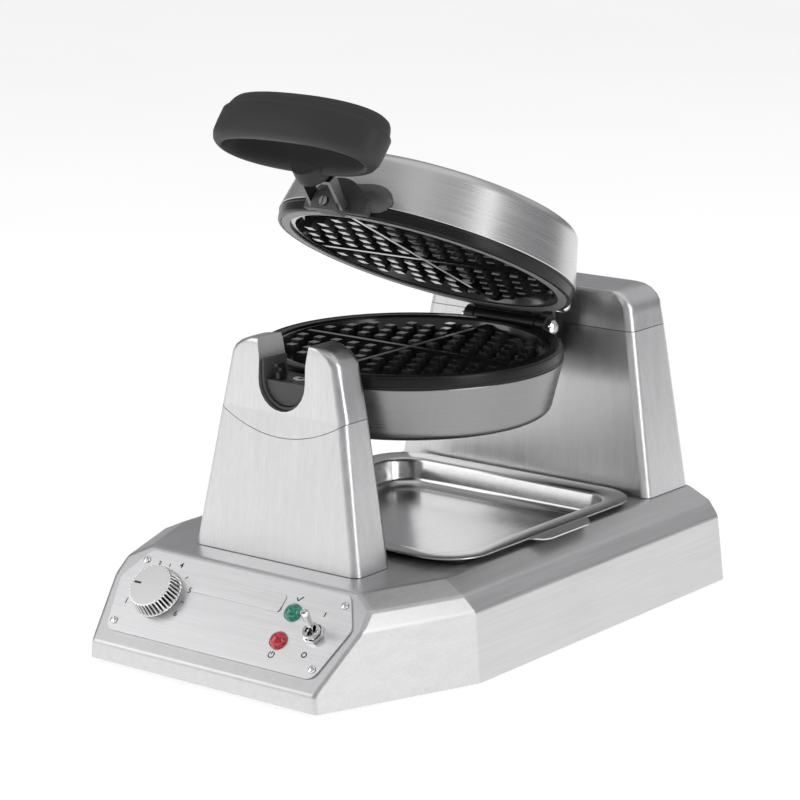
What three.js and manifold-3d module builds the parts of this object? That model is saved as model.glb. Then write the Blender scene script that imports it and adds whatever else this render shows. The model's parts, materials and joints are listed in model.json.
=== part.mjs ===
// Round waffle maker on a sheet-steel base: the two grid plates turn over between two
// posts, the lid opens on a rear hinge, and a tray under the plates catches drips.
// Millimetres, +Z up, front towards -Y, origin under the middle of the footprint, feet on Z=0.
import * as THREE from 'three';
import Module from 'manifold-3d';

const wasm = await Module();
wasm.setup();

// ---------------------------------------------------------------- driving sizes
// Before it is centred, the model has Y from the front edge of the base and Z from its rim.
const ROUND = 48;
const GAP = 0.35;
const SHEET = 1.6;
// plates: everything that turns is measured from the rim's radius and the turning axis
const CASING_RADIUS = 98;
const AXIS_HEIGHT = 171.5;
const PARTING = AXIS_HEIGHT + 2.6;
const CASING_END_RADIUS = CASING_RADIUS - 7;
const RIM_TOP_RADIUS = CASING_RADIUS - 1.4;
const PLATE_RADIUS = CASING_RADIUS - 9.6;
const LOWER_DEPTH = 43.5;
const LOWER_BOTTOM = PARTING - LOWER_DEPTH;
const LID_HEIGHT = 45.4;
const RIM_HEIGHT = 8.4;
const STUD_PITCH = 14;
const STUD_BASE = 8;
const STUD_TOP = 5.8;
const STUD_HEIGHT = 7;
const LID_OPEN = 27.16;
// front post, then what stands behind it
const POST_FRONT_Y = 69.6;
const POST_FRONT_BACK = 104.3;
const POST_FRONT_HALF = 65.3;
const POST_FRONT_TOP = AXIS_HEIGHT + 24.3;
const POST_CLEAR = 3.6;
const RIM_FRONT = POST_FRONT_BACK + POST_CLEAR;
const ROTOR_Y = RIM_FRONT + CASING_RADIUS;
const HINGE_Y = ROTOR_Y + CASING_RADIUS + 9.6;
const HINGE_Z = AXIS_HEIGHT - 1.5;
const PIN_RADIUS = 3;
const PIN_CLEAR = 0.3;
// rear post
const POST_REAR_Y = HINGE_Y + 13.5;
const POST_REAR_DEPTH = 49.6;
const POST_REAR_TOP = AXIS_HEIGHT + 23.4;
// base
const BASE_LENGTH = POST_REAR_Y + POST_REAR_DEPTH + 3.4;
const BASE_HALF_WIDTH = 131;
const NOSE_HALF_WIDTH = 90;
const NOSE_REACH = 105;
const DECK_HEIGHT = 61;
const FRONT_LIP = 11;
const FOOT_HEIGHT = 3.5;
const PAN_TOP = 2.4;
const POST_REAR_HALF = BASE_HALF_WIDTH - 28.1;
const GLAND_REACH = 14;
const GLAND_X = 62;
const GLAND_Z = 24;
// bearings
const SLOT_RADIUS = 18.3;
const LINER = 1.8;
const JOURNAL_RADIUS = SLOT_RADIUS - LINER - 1;
const JOURNAL_FRONT = POST_FRONT_Y + 13.7;
const SHAFT_RADIUS = 9;
const SHAFT_CLEAR = 0.4;
const BEARING_RADIUS = 19.5;
const BEARING_Y = HINGE_Y + 15.5;
// folding handle
const FOLD_Y = RIM_FRONT - 8.4;
const FOLD_Z = AXIS_HEIGHT + 6.8;
const GRIP_REACH = 52.6;
const GRIP_HALF_WIDTH = 63;
const GRIP_HALF_DEPTH = 26;
const GRIP_BAND = 32;
const FOLD_REST = 30;
// drip tray and the well that it hangs in
const TRAY_HALF_WIDTH = BASE_HALF_WIDTH - 28;
const TRAY_FRONT = POST_FRONT_BACK + 16.2;
const TRAY_BACK = POST_REAR_Y - 3.5;
const TRAY_RIM_Z = DECK_HEIGHT + 4.5;
const TRAY_FLOOR_Z = TRAY_RIM_Z - 19.5;
const TRAY_SHEET = 1.2;
const TRAY_RIM = 11.5;
const WELL_HALF = TRAY_HALF_WIDTH - TRAY_RIM;
const WELL_FRONT = TRAY_FRONT + TRAY_RIM;
const WELL_BACK = TRAY_BACK - TRAY_RIM;
const WELL_FLOOR_Z = TRAY_FLOOR_Z - 10;
const WELL_SHEET = 1.4;
// control panel, measured up the 45 degree face from its lower edge
const PANEL_TILT = 45;
const PANEL_SLOPE = (DECK_HEIGHT - FRONT_LIP) / Math.sin((PANEL_TILT * Math.PI) / 180);
const PANEL_FLOAT = 0.3;
const PANEL_SHEET = 1;
const KNOB_X = -57;
const KNOB_UP = 39.5;
const KNOB_RADIUS = 17.3;
const KNOB_HEIGHT = 12;
const LAMP_X = 46;
const READY_UP = 48;
const POWER_UP = 28.5;
const LAMP_RADIUS = 5;
const SWITCH_X = 68.5;
const SWITCH_UP = 37.6;
const LEVER_REST = 16;

// ---------------------------------------------------------------- helpers
const RAD = Math.PI / 180;
const range = (n) => Array.from({ length: n }, (_, i) => i);

function soup(positions, triangles) {
  const geometry = new THREE.BufferGeometry();
  geometry.setAttribute('position', new THREE.Float32BufferAttribute(positions.flat(), 3));
  geometry.setIndex(triangles.flat());
  return geometry;
}

// a closed body through rings of equal length, first and last ring capped
function loft(rings) {
  const n = rings[0].length;
  const points = rings.flat();
  const triangles = [];
  for (let k = 0; k < rings.length - 1; k += 1) {
    for (let i = 0; i < n; i += 1) {
      const a = k * n + i;
      const b = k * n + ((i + 1) % n);
      triangles.push([a, b, b + n], [a, b + n, a + n]);
    }
  }
  const last = (rings.length - 1) * n;
  const flat = (ring) => ring.map((p) => new THREE.Vector2(p[0], p[1]));
  THREE.ShapeUtils.triangulateShape(flat(rings[0]), []).forEach(([a, b, c]) => {
    triangles.push([a, c, b]);
  });
  THREE.ShapeUtils.triangulateShape(flat(rings[rings.length - 1]), []).forEach(([a, b, c]) => {
    triangles.push([last + a, last + b, last + c]);
  });
  return soup(points, triangles);
}

// a ring-shaped body: the rings join end to end
function band(rings) {
  const n = rings[0].length;
  const m = rings.length;
  const triangles = [];
  for (let k = 0; k < m; k += 1) {
    for (let i = 0; i < n; i += 1) {
      const a = k * n + i;
      const b = k * n + ((i + 1) % n);
      const c = ((k + 1) % m) * n + i;
      const d = ((k + 1) % m) * n + ((i + 1) % n);
      triangles.push([a, b, d], [a, d, c]);
    }
  }
  return soup(rings.flat(), triangles);
}

// convex outline with its corners rounded, listed anticlockwise seen from +Z
function roundedOutline(corners, radius, steps) {
  const out = [];
  const n = corners.length;
  corners.forEach((corner, i) => {
    const p = new THREE.Vector2(...corner);
    const back = new THREE.Vector2(...corners[(i + n - 1) % n]).sub(p).normalize();
    const ahead = new THREE.Vector2(...corners[(i + 1) % n]).sub(p).normalize();
    const half = Math.acos(THREE.MathUtils.clamp(back.dot(ahead), -1, 1)) / 2;
    const reach = radius / Math.tan(half);
    const centre = back.clone().add(ahead).normalize().multiplyScalar(radius / Math.sin(half)).add(p);
    const from = back.clone().multiplyScalar(reach).add(p).sub(centre);
    const sweep = Math.PI - 2 * half;
    for (let s = 0; s <= steps; s += 1) {
      const v = from.clone().rotateAround(new THREE.Vector2(), (sweep * s) / steps).add(centre);
      out.push([v.x, v.y]);
    }
  });
  return out;
}

const atHeight = (outline, z) => outline.map(([x, y]) => [x, y, z]);

function blockOutline(x0, x1, y0, y1, radius, steps) {
  return roundedOutline([[x0, y0], [x1, y0], [x1, y1], [x0, y1]], radius, steps);
}

function box(x0, x1, y0, y1, z0, z1) {
  const geometry = new THREE.BoxGeometry(x1 - x0, y1 - y0, z1 - z0);
  return geometry.translate((x0 + x1) / 2, (y0 + y1) / 2, (z0 + z1) / 2);
}

// cylinder along X, Y or Z between two stations
function rod(axis, radius, from, to, a, b, segments = 32) {
  const geometry = new THREE.CylinderGeometry(radius, radius, to - from, segments);
  const mid = (from + to) / 2;
  if (axis === 'x') return geometry.rotateZ(-Math.PI / 2).translate(mid, a, b);
  if (axis === 'y') return geometry.translate(a, mid, b);
  return geometry.rotateX(Math.PI / 2).translate(a, b, mid);
}

// turned body about Z; profile of [radius, z] listed so that its outside is on the right
function turned(profile, segments) {
  const points = profile.map(([r, z]) => new THREE.Vector2(r, z));
  return new THREE.LatheGeometry(points, segments).rotateX(Math.PI / 2);
}

// turned body about Y, the profile's second number running along +Y
function turnedY(profile, segments, x, z) {
  const points = profile.map(([r, y]) => new THREE.Vector2(r, y));
  return new THREE.LatheGeometry(points, segments).translate(x, 0, z);
}

// turned body about X, the profile's second number running along +X
function turnedX(profile, segments, y, z) {
  const points = profile.map(([r, x]) => new THREE.Vector2(r, x));
  return new THREE.LatheGeometry(points, segments).rotateZ(-Math.PI / 2).translate(0, y, z);
}

// flat outline in X and Z pushed along Y
function slabXZ(outline, y0, y1) {
  const shape = new THREE.Shape(outline.map(([x, z]) => new THREE.Vector2(x, z)));
  const geometry = new THREE.ExtrudeGeometry(shape, { depth: y1 - y0, bevelEnabled: false });
  return geometry.rotateX(Math.PI / 2).translate(0, y1, 0);
}

// flat outline in X and Y pushed along Z
function slabXY(outline, z0, z1) {
  const shape = new THREE.Shape(outline.map(([x, y]) => new THREE.Vector2(x, y)));
  const geometry = new THREE.ExtrudeGeometry(shape, { depth: z1 - z0, bevelEnabled: false });
  return geometry.translate(0, 0, z0);
}

function solid(geometry) {
  const vertices = [];
  const index = [];
  const seen = new Map();
  const position = geometry.getAttribute('position');
  const order = geometry.index ? Array.from(geometry.index.array) : range(position.count);
  const remap = order.map((i) => {
    const p = [position.getX(i), position.getY(i), position.getZ(i)];
    const key = p.map((v) => Math.round(v * 1e4)).join();
    if (!seen.has(key)) {
      seen.set(key, seen.size);
      vertices.push(...p);
    }
    return seen.get(key);
  });
  for (let i = 0; i < remap.length; i += 3) {
    const [a, b, c] = remap.slice(i, i + 3);
    if (a !== b && b !== c && a !== c) index.push(a, b, c);
  }
  let volume = 0;
  for (let i = 0; i < index.length; i += 3) {
    const [a, b, c] = index.slice(i, i + 3).map((k) => new THREE.Vector3().fromArray(vertices, k * 3));
    volume += a.dot(b.cross(c));
  }
  if (volume < 0) index.reverse();
  const mesh = new wasm.Mesh({
    numProp: 3,
    vertProperties: new Float32Array(vertices),
    triVerts: new Uint32Array(index),
  });
  return new wasm.Manifold(mesh);
}

const join = (...parts) => parts.map(solidOf).reduce((a, b) => a.add(b));
const cut = (body, ...tools) => tools.map(solidOf).reduce((a, b) => a.subtract(b), solidOf(body));
const keep = (a, b) => solidOf(a).intersect(solidOf(b));

function solidOf(part) {
  return part.isBufferGeometry ? solid(part) : part;
}

function geometryOf(part) {
  if (part.isBufferGeometry) return geometryOf(solid(part));
  const mesh = part.getMesh();
  const geometry = new THREE.BufferGeometry();
  geometry.setAttribute('position', new THREE.BufferAttribute(mesh.vertProperties.slice(), 3));
  geometry.setIndex(new THREE.BufferAttribute(mesh.triVerts.slice(), 1));
  return geometry;
}

const group = new THREE.Group();
const looks = {
  steel: { color: 0xc9cbcc, metalness: 0.9, roughness: 0.4 },
  bright: { color: 0xe6e7e8, metalness: 1.0, roughness: 0.15 },
  black: { color: 0x1c1c1d, metalness: 0.1, roughness: 0.55 },
  grey: { color: 0x55575a, metalness: 0.3, roughness: 0.5 },
  rubber: { color: 0x2b2b2c, metalness: 0.0, roughness: 0.8 },
  ivory: { color: 0xeceae4, metalness: 0.0, roughness: 0.5 },
  green: { color: 0x118a5c, metalness: 0.0, roughness: 0.2 },
  red: { color: 0xc02030, metalness: 0.0, roughness: 0.2 },
  brass: { color: 0xb58c3a, metalness: 1.0, roughness: 0.35 },
};

// every piece ends up here: model frame has Y from the front edge, Z from the base rim
function add(name, part, look, move = (g) => g) {
  const geometry = move(geometryOf(part));
  geometry.translate(0, -(BASE_LENGTH + GLAND_REACH) / 2, FOOT_HEIGHT);
  geometry.computeVertexNormals();
  const mesh = new THREE.Mesh(geometry, new THREE.MeshStandardMaterial(looks[look]));
  mesh.name = name;
  group.add(mesh);
}

// ---------------------------------------------------------------- base shell
// section of the base at one height: insets of side, nose and rear, and the front edge
const LEVELS = [
  { z: 0, side: 0, nose: 0, rear: 0, front: 0 },
  { z: FRONT_LIP, side: 0.9, nose: 0.9, rear: 0.6, front: 0 },
  { z: DECK_HEIGHT - 17.3, side: 3.7, nose: 3.7, rear: 2.5, front: DECK_HEIGHT - 17.3 - FRONT_LIP },
  { z: DECK_HEIGHT - 7.5, side: 10.5, nose: 8.8, rear: 3, front: DECK_HEIGHT - 7.5 - FRONT_LIP },
  { z: DECK_HEIGHT, side: 26.8, nose: 25, rear: 3.2, front: DECK_HEIGHT - FRONT_LIP },
];
const noseRun = new THREE.Vector2(BASE_HALF_WIDTH - NOSE_HALF_WIDTH, NOSE_REACH).normalize();

function baseSection({ z, side, nose, rear, front }, radius) {
  const start = new THREE.Vector2(-noseRun.y, noseRun.x).multiplyScalar(nose);
  start.x += NOSE_HALF_WIDTH;
  const wide = BASE_HALF_WIDTH - side;
  const xFront = start.x + (noseRun.x * (front - start.y)) / noseRun.y;
  const yTurn = start.y + (noseRun.y * (wide - start.x)) / noseRun.x;
  const back = BASE_LENGTH - rear;
  const half = [[xFront, front], [wide, yTurn], [wide, back]];
  const corners = [...half, ...half.map(([x, y]) => [-x, y]).reverse()];
  return atHeight(roundedOutline(corners, radius, 2), z);
}

const baseOuter = loft(LEVELS.map((level) => baseSection(level, 4)));
// the hollow inside: each level drops a little and moves in by the sheet's slant thickness
const HOLLOW = [
  { drop: 1, slant: 1, front: 1 },
  { drop: 0, slant: 1.05, front: 1.1 },
  { drop: 0.7, slant: 1.3, front: 1.5 },
  { drop: 1.1, slant: 1.9, front: 1.5 },
  { drop: SHEET, slant: 0.5, front: 1.5 },
];
const baseInner = loft(LEVELS.map((level, i) => {
  const { drop, slant, front } = HOLLOW[i];
  return baseSection({
    z: level.z - drop,
    side: level.side + SHEET * slant,
    nose: level.nose + SHEET * slant,
    rear: level.rear + SHEET,
    front: Math.max(level.front - drop, 0) + SHEET * front,
  }, 3);
}));

// panel frame: x across, up the slope, out from it
function onPanel(geometry) {
  return geometry.rotateX((90 - PANEL_TILT) * RAD).translate(0, 0, FRONT_LIP);
}
// hidden channels that carry the posts: [x half, front y, back y]
const FRONT_FRAME = [28, POST_FRONT_Y + 12.4, POST_FRONT_BACK - 6.3];
const REAR_FRAME = [BASE_HALF_WIDTH - 86, POST_REAR_Y + 13.5, POST_REAR_Y + POST_REAR_DEPTH - 10.6];
const deckHole = (x, y0, y1) => box(-x, x, y0, y1, DECK_HEIGHT - 11, DECK_HEIGHT + 9);
const frameHole = ([x, y0, y1]) => deckHole(x + 4, y0 - 3, y1 + 1.5);

add('base_shell', cut(
  baseOuter,
  baseInner,
  deckHole(WELL_HALF, WELL_FRONT, WELL_BACK),
  frameHole(FRONT_FRAME),
  frameHole(REAR_FRAME),
  onPanel(rod('z', 13, -8, 8, KNOB_X, KNOB_UP)),
  onPanel(rod('z', 7, -8, 8, SWITCH_X, SWITCH_UP)),
  onPanel(rod('z', 6, -8, 8, LAMP_X, READY_UP)),
  onPanel(rod('z', 6, -8, 8, LAMP_X, POWER_UP)),
  rod('y', 7.2, BASE_LENGTH - 10, BASE_LENGTH + 5, GLAND_X, GLAND_Z),
), 'steel');

// floor pan with vent slots, and the feet under it
const pan = loft([0.6, PAN_TOP].map((z) => baseSection({ z, side: 2.2, nose: 2.2, rear: 2.2, front: 2.2 }, 3)));
const VENT_Y = ROTOR_Y + 9;
const vents = range(7).map((i) => box(-45, 45, VENT_Y + i * 14, VENT_Y + 6 + i * 14, -1, 4));
add('base_pan', cut(pan, ...vents), 'grey');
const FRONT_FOOT = [NOSE_HALF_WIDTH - 14, 42];
const REAR_FOOT = [BASE_HALF_WIDTH - 27, BASE_LENGTH - 30];
const FEET = {
  front_left: [-FRONT_FOOT[0], FRONT_FOOT[1]],
  front_right: FRONT_FOOT,
  rear_left: [-REAR_FOOT[0], REAR_FOOT[1]],
  rear_right: REAR_FOOT,
};
Object.entries(FEET).forEach(([where, [x, y]]) => {
  const profile = [[0, -FOOT_HEIGHT], [8, -FOOT_HEIGHT], [9.5, -FOOT_HEIGHT + 1.2], [10.5, 0.25], [0, 0.25]];
  add(`foot_${where}`, turned(profile, 16).translate(x, y, 0), 'rubber');
});

// ---------------------------------------------------------------- drip tray and its well
const trayMid = (TRAY_FRONT + TRAY_BACK) / 2;
const trayHalf = (TRAY_BACK - TRAY_FRONT) / 2;
function trayRing([inset, z]) {
  const x = TRAY_HALF_WIDTH - inset;
  const y = trayHalf - inset;
  const radius = Math.max(30 - inset * 0.6, 8);
  return atHeight(blockOutline(-x, x, trayMid - y, trayMid + y, radius, 6), z);
}
const trayUnder = TRAY_RIM_Z - TRAY_SHEET;
const BOWL = TRAY_RIM + 2.2;
// [inset from the rim's edge, height]: under the floor, up the wall, round the rim, back down
const tray = loft([
  [BOWL + 13.3, TRAY_FLOOR_Z], [BOWL + 7.8, TRAY_FLOOR_Z + 1], [BOWL + 3.9, TRAY_FLOOR_Z + 3],
  [BOWL + 1.7, TRAY_FLOOR_Z + 6.4], [BOWL + 0.2, trayUnder - 0.3], [BOWL - 0.6, trayUnder],
  [0.8, trayUnder], [0, trayUnder + 0.6], [0.8, TRAY_RIM_Z], [BOWL - 1.1, TRAY_RIM_Z],
  [BOWL + 0.4, TRAY_RIM_Z - 0.9], [BOWL + 1.2, trayUnder - 1.2], [BOWL + 2.9, TRAY_FLOOR_Z + 6.6],
  [BOWL + 4.9, TRAY_FLOOR_Z + 4], [BOWL + 8.5, TRAY_FLOOR_Z + 2.2], [BOWL + 13.5, TRAY_FLOOR_Z + TRAY_SHEET],
  [60, TRAY_FLOOR_Z + TRAY_SHEET],
].map(trayRing));
// lifting tabs that stand out from the two long rims: [out from the rim, along it from the middle]
const TAB = [[-4, -29], [-1, -29], [8.5, -24], [10.5, -19], [10.5, 21], [8.5, 26], [-1, 35], [-4, 35]];
function tab(side) {
  const outline = TAB.map(([out, along]) => [side * (TRAY_HALF_WIDTH + out), trayMid + along]);
  return slabXY(outline, trayUnder + 0.1, TRAY_RIM_Z - 0.1);
}
add('drip_tray', join(tray, tab(1), tab(-1)), 'bright');

const wellHalfY = (WELL_BACK - WELL_FRONT) / 2;
const wellTop = DECK_HEIGHT + 0.3;
// [grow from the hole in the deck, height]
function wellRing([grow, z]) {
  const x = WELL_HALF + grow;
  const y = wellHalfY + grow;
  return atHeight(blockOutline(-x, x, trayMid - y, trayMid + y, 12, 4), z);
}
add('tray_well', loft([
  [-GAP, WELL_FLOOR_Z], [-GAP, wellTop], [4, wellTop], [4, trayUnder - 0.3],
  [-GAP - WELL_SHEET, trayUnder - 0.3], [-GAP - WELL_SHEET, WELL_FLOOR_Z + WELL_SHEET],
].map(wellRing)), 'black');

// ---------------------------------------------------------------- control panel
const PANEL_FOOT = 9.5;
const PANEL_TOP = PANEL_SLOPE - 3.2;
const PANEL_WAIST = PANEL_SLOPE - 24.7;
const faceHalf = [
  [NOSE_HALF_WIDTH - 8, PANEL_FOOT], [NOSE_HALF_WIDTH + 2, PANEL_WAIST], [NOSE_HALF_WIDTH - 11, PANEL_TOP],
];
const faceOutline = roundedOutline([...faceHalf, ...faceHalf.map(([x, up]) => [-x, up]).reverse()], 7, 4);
const faceHoles = [
  rod('z', 5.2, -3, 4, KNOB_X, KNOB_UP, 24),
  rod('z', 6, -3, 4, SWITCH_X, SWITCH_UP, 24),
  rod('z', LAMP_RADIUS - 0.8, -3, 4, LAMP_X, READY_UP, 24),
  rod('z', LAMP_RADIUS - 0.8, -3, 4, LAMP_X, POWER_UP, 24),
];
const SCREW_X = NOSE_HALF_WIDTH - 11;
const SCREW_LOW = PANEL_FOOT + 6.5;
const SCREW_HIGH = PANEL_TOP - 7.5;
const SCREWS = {
  lower_left: [-SCREW_X, SCREW_LOW],
  lower_right: [SCREW_X, SCREW_LOW],
  upper_left: [-SCREW_X, SCREW_HIGH],
  upper_right: [SCREW_X, SCREW_HIGH],
};
const screwHoles = Object.values(SCREWS).map(([x, up]) => rod('z', 1.6, -3, 4, x, up, 16));
const panelFace = slabXY(faceOutline, PANEL_FLOAT, PANEL_FLOAT + PANEL_SHEET);
add('control_panel', cut(panelFace, ...faceHoles, ...screwHoles), 'steel', onPanel);
Object.entries(SCREWS).forEach(([where, [x, up]]) => {
  const head = turned([[0, 0.6], [1.3, 0.6], [1.3, 1.6], [2.6, 1.6], [2.3, 2.3], [1.3, 2.7], [0, 2.7]], 12);
  const slot = box(-0.35, 0.35, -4, 4, 2.2, 4).rotateZ(35 * RAD);
  add(`panel_screw_${where}`, cut(head, slot).translate([x, up, 0]), 'bright', onPanel);
});
add('badge_plate', slabXY(blockOutline(-34, 36, 46, 58, 2, 3), 1.6, 2.1), 'steel', onPanel);

// thermostat: body behind the panel, spindle through it, fluted knob in front
add('thermostat', join(
  rod('z', 12, -22, -3, KNOB_X, KNOB_UP, 28),
  rod('z', 4.8, -4, 1.2, KNOB_X, KNOB_UP, 20),
  rod('z', 2.8, 0, KNOB_HEIGHT - 4, KNOB_X, KNOB_UP, 16),
), 'grey', onPanel);
const FLUTES = 20;
function knobRing(radius, depth, z) {
  return range(FLUTES * 3).map((i) => {
    const a = (2 * Math.PI * i) / (FLUTES * 3);
    const r = radius - depth * (i % 3 < 2 ? 0 : 1);
    return [r * Math.cos(a), r * Math.sin(a), z];
  });
}
const knobBody = loft([
  knobRing(KNOB_RADIUS, 0, 1.8), knobRing(KNOB_RADIUS, 0, 3.2), knobRing(KNOB_RADIUS - 0.8, 0.9, 4),
  knobRing(KNOB_RADIUS - 2.3, 0.9, KNOB_HEIGHT - 0.8), knobRing(KNOB_RADIUS - 3.2, 0.5, KNOB_HEIGHT),
]);
const knobSocket = rod('z', 3.2, 0, KNOB_HEIGHT - 3, 0, 0, 16);
const knobRecess = rod('z', KNOB_RADIUS - 5, KNOB_HEIGHT - 0.8, KNOB_HEIGHT + 3, 0, 0, 36);
const atKnob = (g) => onPanel(g.translate(KNOB_X, KNOB_UP, 0));
add('thermostat_knob', cut(knobBody, knobSocket, knobRecess), 'bright', atKnob);
add('knob_cap', cut(
  rod('z', KNOB_RADIUS - 5.3, KNOB_HEIGHT - 0.5, KNOB_HEIGHT + 0.3, 0, 0, 36),
  box(-12.4, -6.6, -0.95, 0.95, KNOB_HEIGHT - 1, KNOB_HEIGHT + 2),
), 'ivory', atKnob);
add('knob_pointer', box(-12.1, -6.9, -0.65, 0.65, KNOB_HEIGHT - 0.5, KNOB_HEIGHT + 0.5), 'black', atKnob);

// pilot lamps
function lamp(up) {
  const r = LAMP_RADIUS;
  const profile = [
    [0, -12], [3.6, -12], [3.6, 1.6], [r + 1, 1.6], [r + 1, 2.6], [r, 2.9],
    [r * 0.75, 4.6], [r * 0.4, 5.6], [0, 5.9],
  ];
  return turned(profile, 20).translate(LAMP_X, up, 0);
}
add('ready_lamp', lamp(READY_UP), 'green', onPanel);
add('power_lamp', lamp(POWER_UP), 'red', onPanel);

// on and off switch
const hex = range(6).map((i) => [7 * Math.cos(i * 60 * RAD), 7 * Math.sin(i * 60 * RAD)]);
const atSwitch = [SWITCH_X, SWITCH_UP, 0];
const nut = cut(slabXY(hex, 1.6, 4), rod('z', 5.9, 0, 6, 0, 0, 24));
add('switch_nut', nut.translate(atSwitch), 'bright', onPanel);
const bushing = cut(
  join(rod('z', 5.5, -4, 7, 0, 0, 24), box(-6.5, 6.5, -9.5, 9.5, -24, -3.5)),
  rod('z', 3.9, -6, 9, 0, 0, 20),
);
add('switch_body', bushing.translate(atSwitch), 'bright', onPanel);
const lever = turned([
  [0, -4.5], [1.6, -4.2], [1.9, 0], [1.7, 4], [2.1, 8], [2.7, 16], [2.5, 18.6], [1.4, 19.8], [0, 20],
], 16);
add('switch_lever', lever, 'bright', (g) => onPanel(
  g.rotateX(-LEVER_REST * RAD).translate(SWITCH_X, SWITCH_UP, 2),
));

// ---------------------------------------------------------------- posts
// a post's levels are [z, half width, front y, back y]; its top edge is a round shoulder
const shoulder = (z0, a0, z1, a1, y0, y1) => range(5).map((i) => {
  const t = ((i + 1) * 18) * RAD;
  const soft = 1.6 * (1 - Math.cos(t));
  return [z0 + (z1 - z0) * Math.sin(t), a1 + (a0 - a1) * Math.cos(t), y0 + soft, y1 - soft];
});
const POST_FOOT = DECK_HEIGHT + 0.35;
const frontHalf = [POST_FRONT_HALF, POST_FRONT_HALF - 15.9, POST_FRONT_HALF - 21.9];
const frontNeck = AXIS_HEIGHT + 9.4;
const FRONT_POST = [
  [POST_FOOT, frontHalf[0], POST_FRONT_Y, POST_FRONT_BACK - 0.7],
  [AXIS_HEIGHT - 19.5, frontHalf[1], POST_FRONT_Y + 8.4, POST_FRONT_BACK - 0.1],
  [frontNeck, frontHalf[2], POST_FRONT_Y + 10, POST_FRONT_BACK],
  ...shoulder(
    frontNeck, frontHalf[2], POST_FRONT_TOP, frontHalf[2] - 19.4, POST_FRONT_Y + 10.2, POST_FRONT_BACK,
  ),
];
const rearHalf = [POST_REAR_HALF, POST_REAR_HALF - 19.1, POST_REAR_HALF - 21.3];
const rearNeck = AXIS_HEIGHT + 8.5;
const rearFace = POST_REAR_Y + 8.2;
const rearBack = POST_REAR_Y + POST_REAR_DEPTH;
const REAR_POST = [
  [POST_FOOT, rearHalf[0], POST_REAR_Y, rearBack],
  [AXIS_HEIGHT - 2.1, rearHalf[1], rearFace - 0.9, rearBack - 1],
  [rearNeck, rearHalf[2], rearFace, rearBack - 1.2],
  ...shoulder(rearNeck, rearHalf[2], POST_REAR_TOP, rearHalf[2] - 16.8, rearFace, rearBack - 1.2),
];
function postBody(levels, inset) {
  return loft(levels.map(([z, a, y0, y1], i) => {
    const low = i === 0 && inset > 0 ? -3 : 0;
    const high = i > 1 && inset > 0 ? -inset : 0;
    const outline = blockOutline(-a + inset, a - inset, y0 + inset, y1 - inset, 5.5 - inset * 0.6, 3);
    return atHeight(outline, z + low + high);
  }));
}
// the seam across the front post hangs in a curve under the slot
const SEAM_LOW = AXIS_HEIGHT - 34;
const SEAM_RISE = 14.5;
const seam = (drop) => range(17).map((i) => {
  const t = (i - 8) / 8;
  const out = t * (frontHalf[1] + 2.6);
  return [out, SEAM_LOW + SEAM_RISE * (out / frontHalf[1]) ** 2 - drop];
});
const REACH = 150;
const bounded = (curve, z) => [
  ...curve, [REACH, curve.at(-1)[1]], [REACH, z], [-REACH, z], [-REACH, curve[0][1]],
];
const SEAM_GAP = 0.4;
const slotY = [POST_FRONT_Y - 10, POST_FRONT_BACK + 16];
const frontUpper = slabXZ(bounded(seam(0), AXIS_HEIGHT + REACH), ...slotY);
const frontLower = slabXZ(bounded(seam(SEAM_GAP), 0), ...slotY);
const frontSkin = cut(postBody(FRONT_POST, 0), postBody(FRONT_POST, 2));
const halfRound = (r) => range(13).map((i) => {
  return [r * Math.cos(-i * 15 * RAD), AXIS_HEIGHT + r * Math.sin(-i * 15 * RAD)];
});
const slotMouth = POST_FRONT_TOP + 9.2;
const slotOutline = (r, flare) => [
  [flare + r, slotMouth], [r, AXIS_HEIGHT + 12.5], ...halfRound(r),
  [-r, AXIS_HEIGHT + 12.5], [-flare - r, slotMouth],
];
const slotTube = keep(postBody(FRONT_POST, 0), slabXZ(slotOutline(SLOT_RADIUS + 2.4, 3), ...slotY));
add('front_post_cover', keep(frontSkin, frontLower), 'steel');
add('front_post_cap', cut(
  join(keep(frontSkin, frontUpper), keep(slotTube, frontUpper)),
  slabXZ(slotOutline(SLOT_RADIUS, 3.4), ...slotY),
), 'steel');
const uOutline = (r, top) => [[r, top], ...halfRound(r), [-r, top]];
add('front_bearing_liner', cut(
  slabXZ(uOutline(SLOT_RADIUS - GAP, AXIS_HEIGHT + 11.5), POST_FRONT_Y + 11.9, POST_FRONT_BACK - 0.7),
  slabXZ(uOutline(SLOT_RADIUS - GAP - LINER, AXIS_HEIGHT + 18.5), ...slotY),
), 'grey');
const FRAME_SHEET = 3;
const frameFoot = PAN_TOP + 0.4;
const frameTop = AXIS_HEIGHT - 21.1;
function channel([x, y0, y1], open) {
  const outer = box(-x, x, y0, y1, frameFoot, frameTop);
  const inner = box(
    -x + FRAME_SHEET, x - FRAME_SHEET,
    open < 0 ? y0 - 9 : y0 + FRAME_SHEET, open < 0 ? y1 - FRAME_SHEET : y1 + 9,
    frameFoot + FRAME_SHEET, frameTop - FRAME_SHEET,
  );
  return [outer, inner];
}
add('front_post_frame', cut(...channel(FRONT_FRAME, 1)), 'grey');

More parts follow.
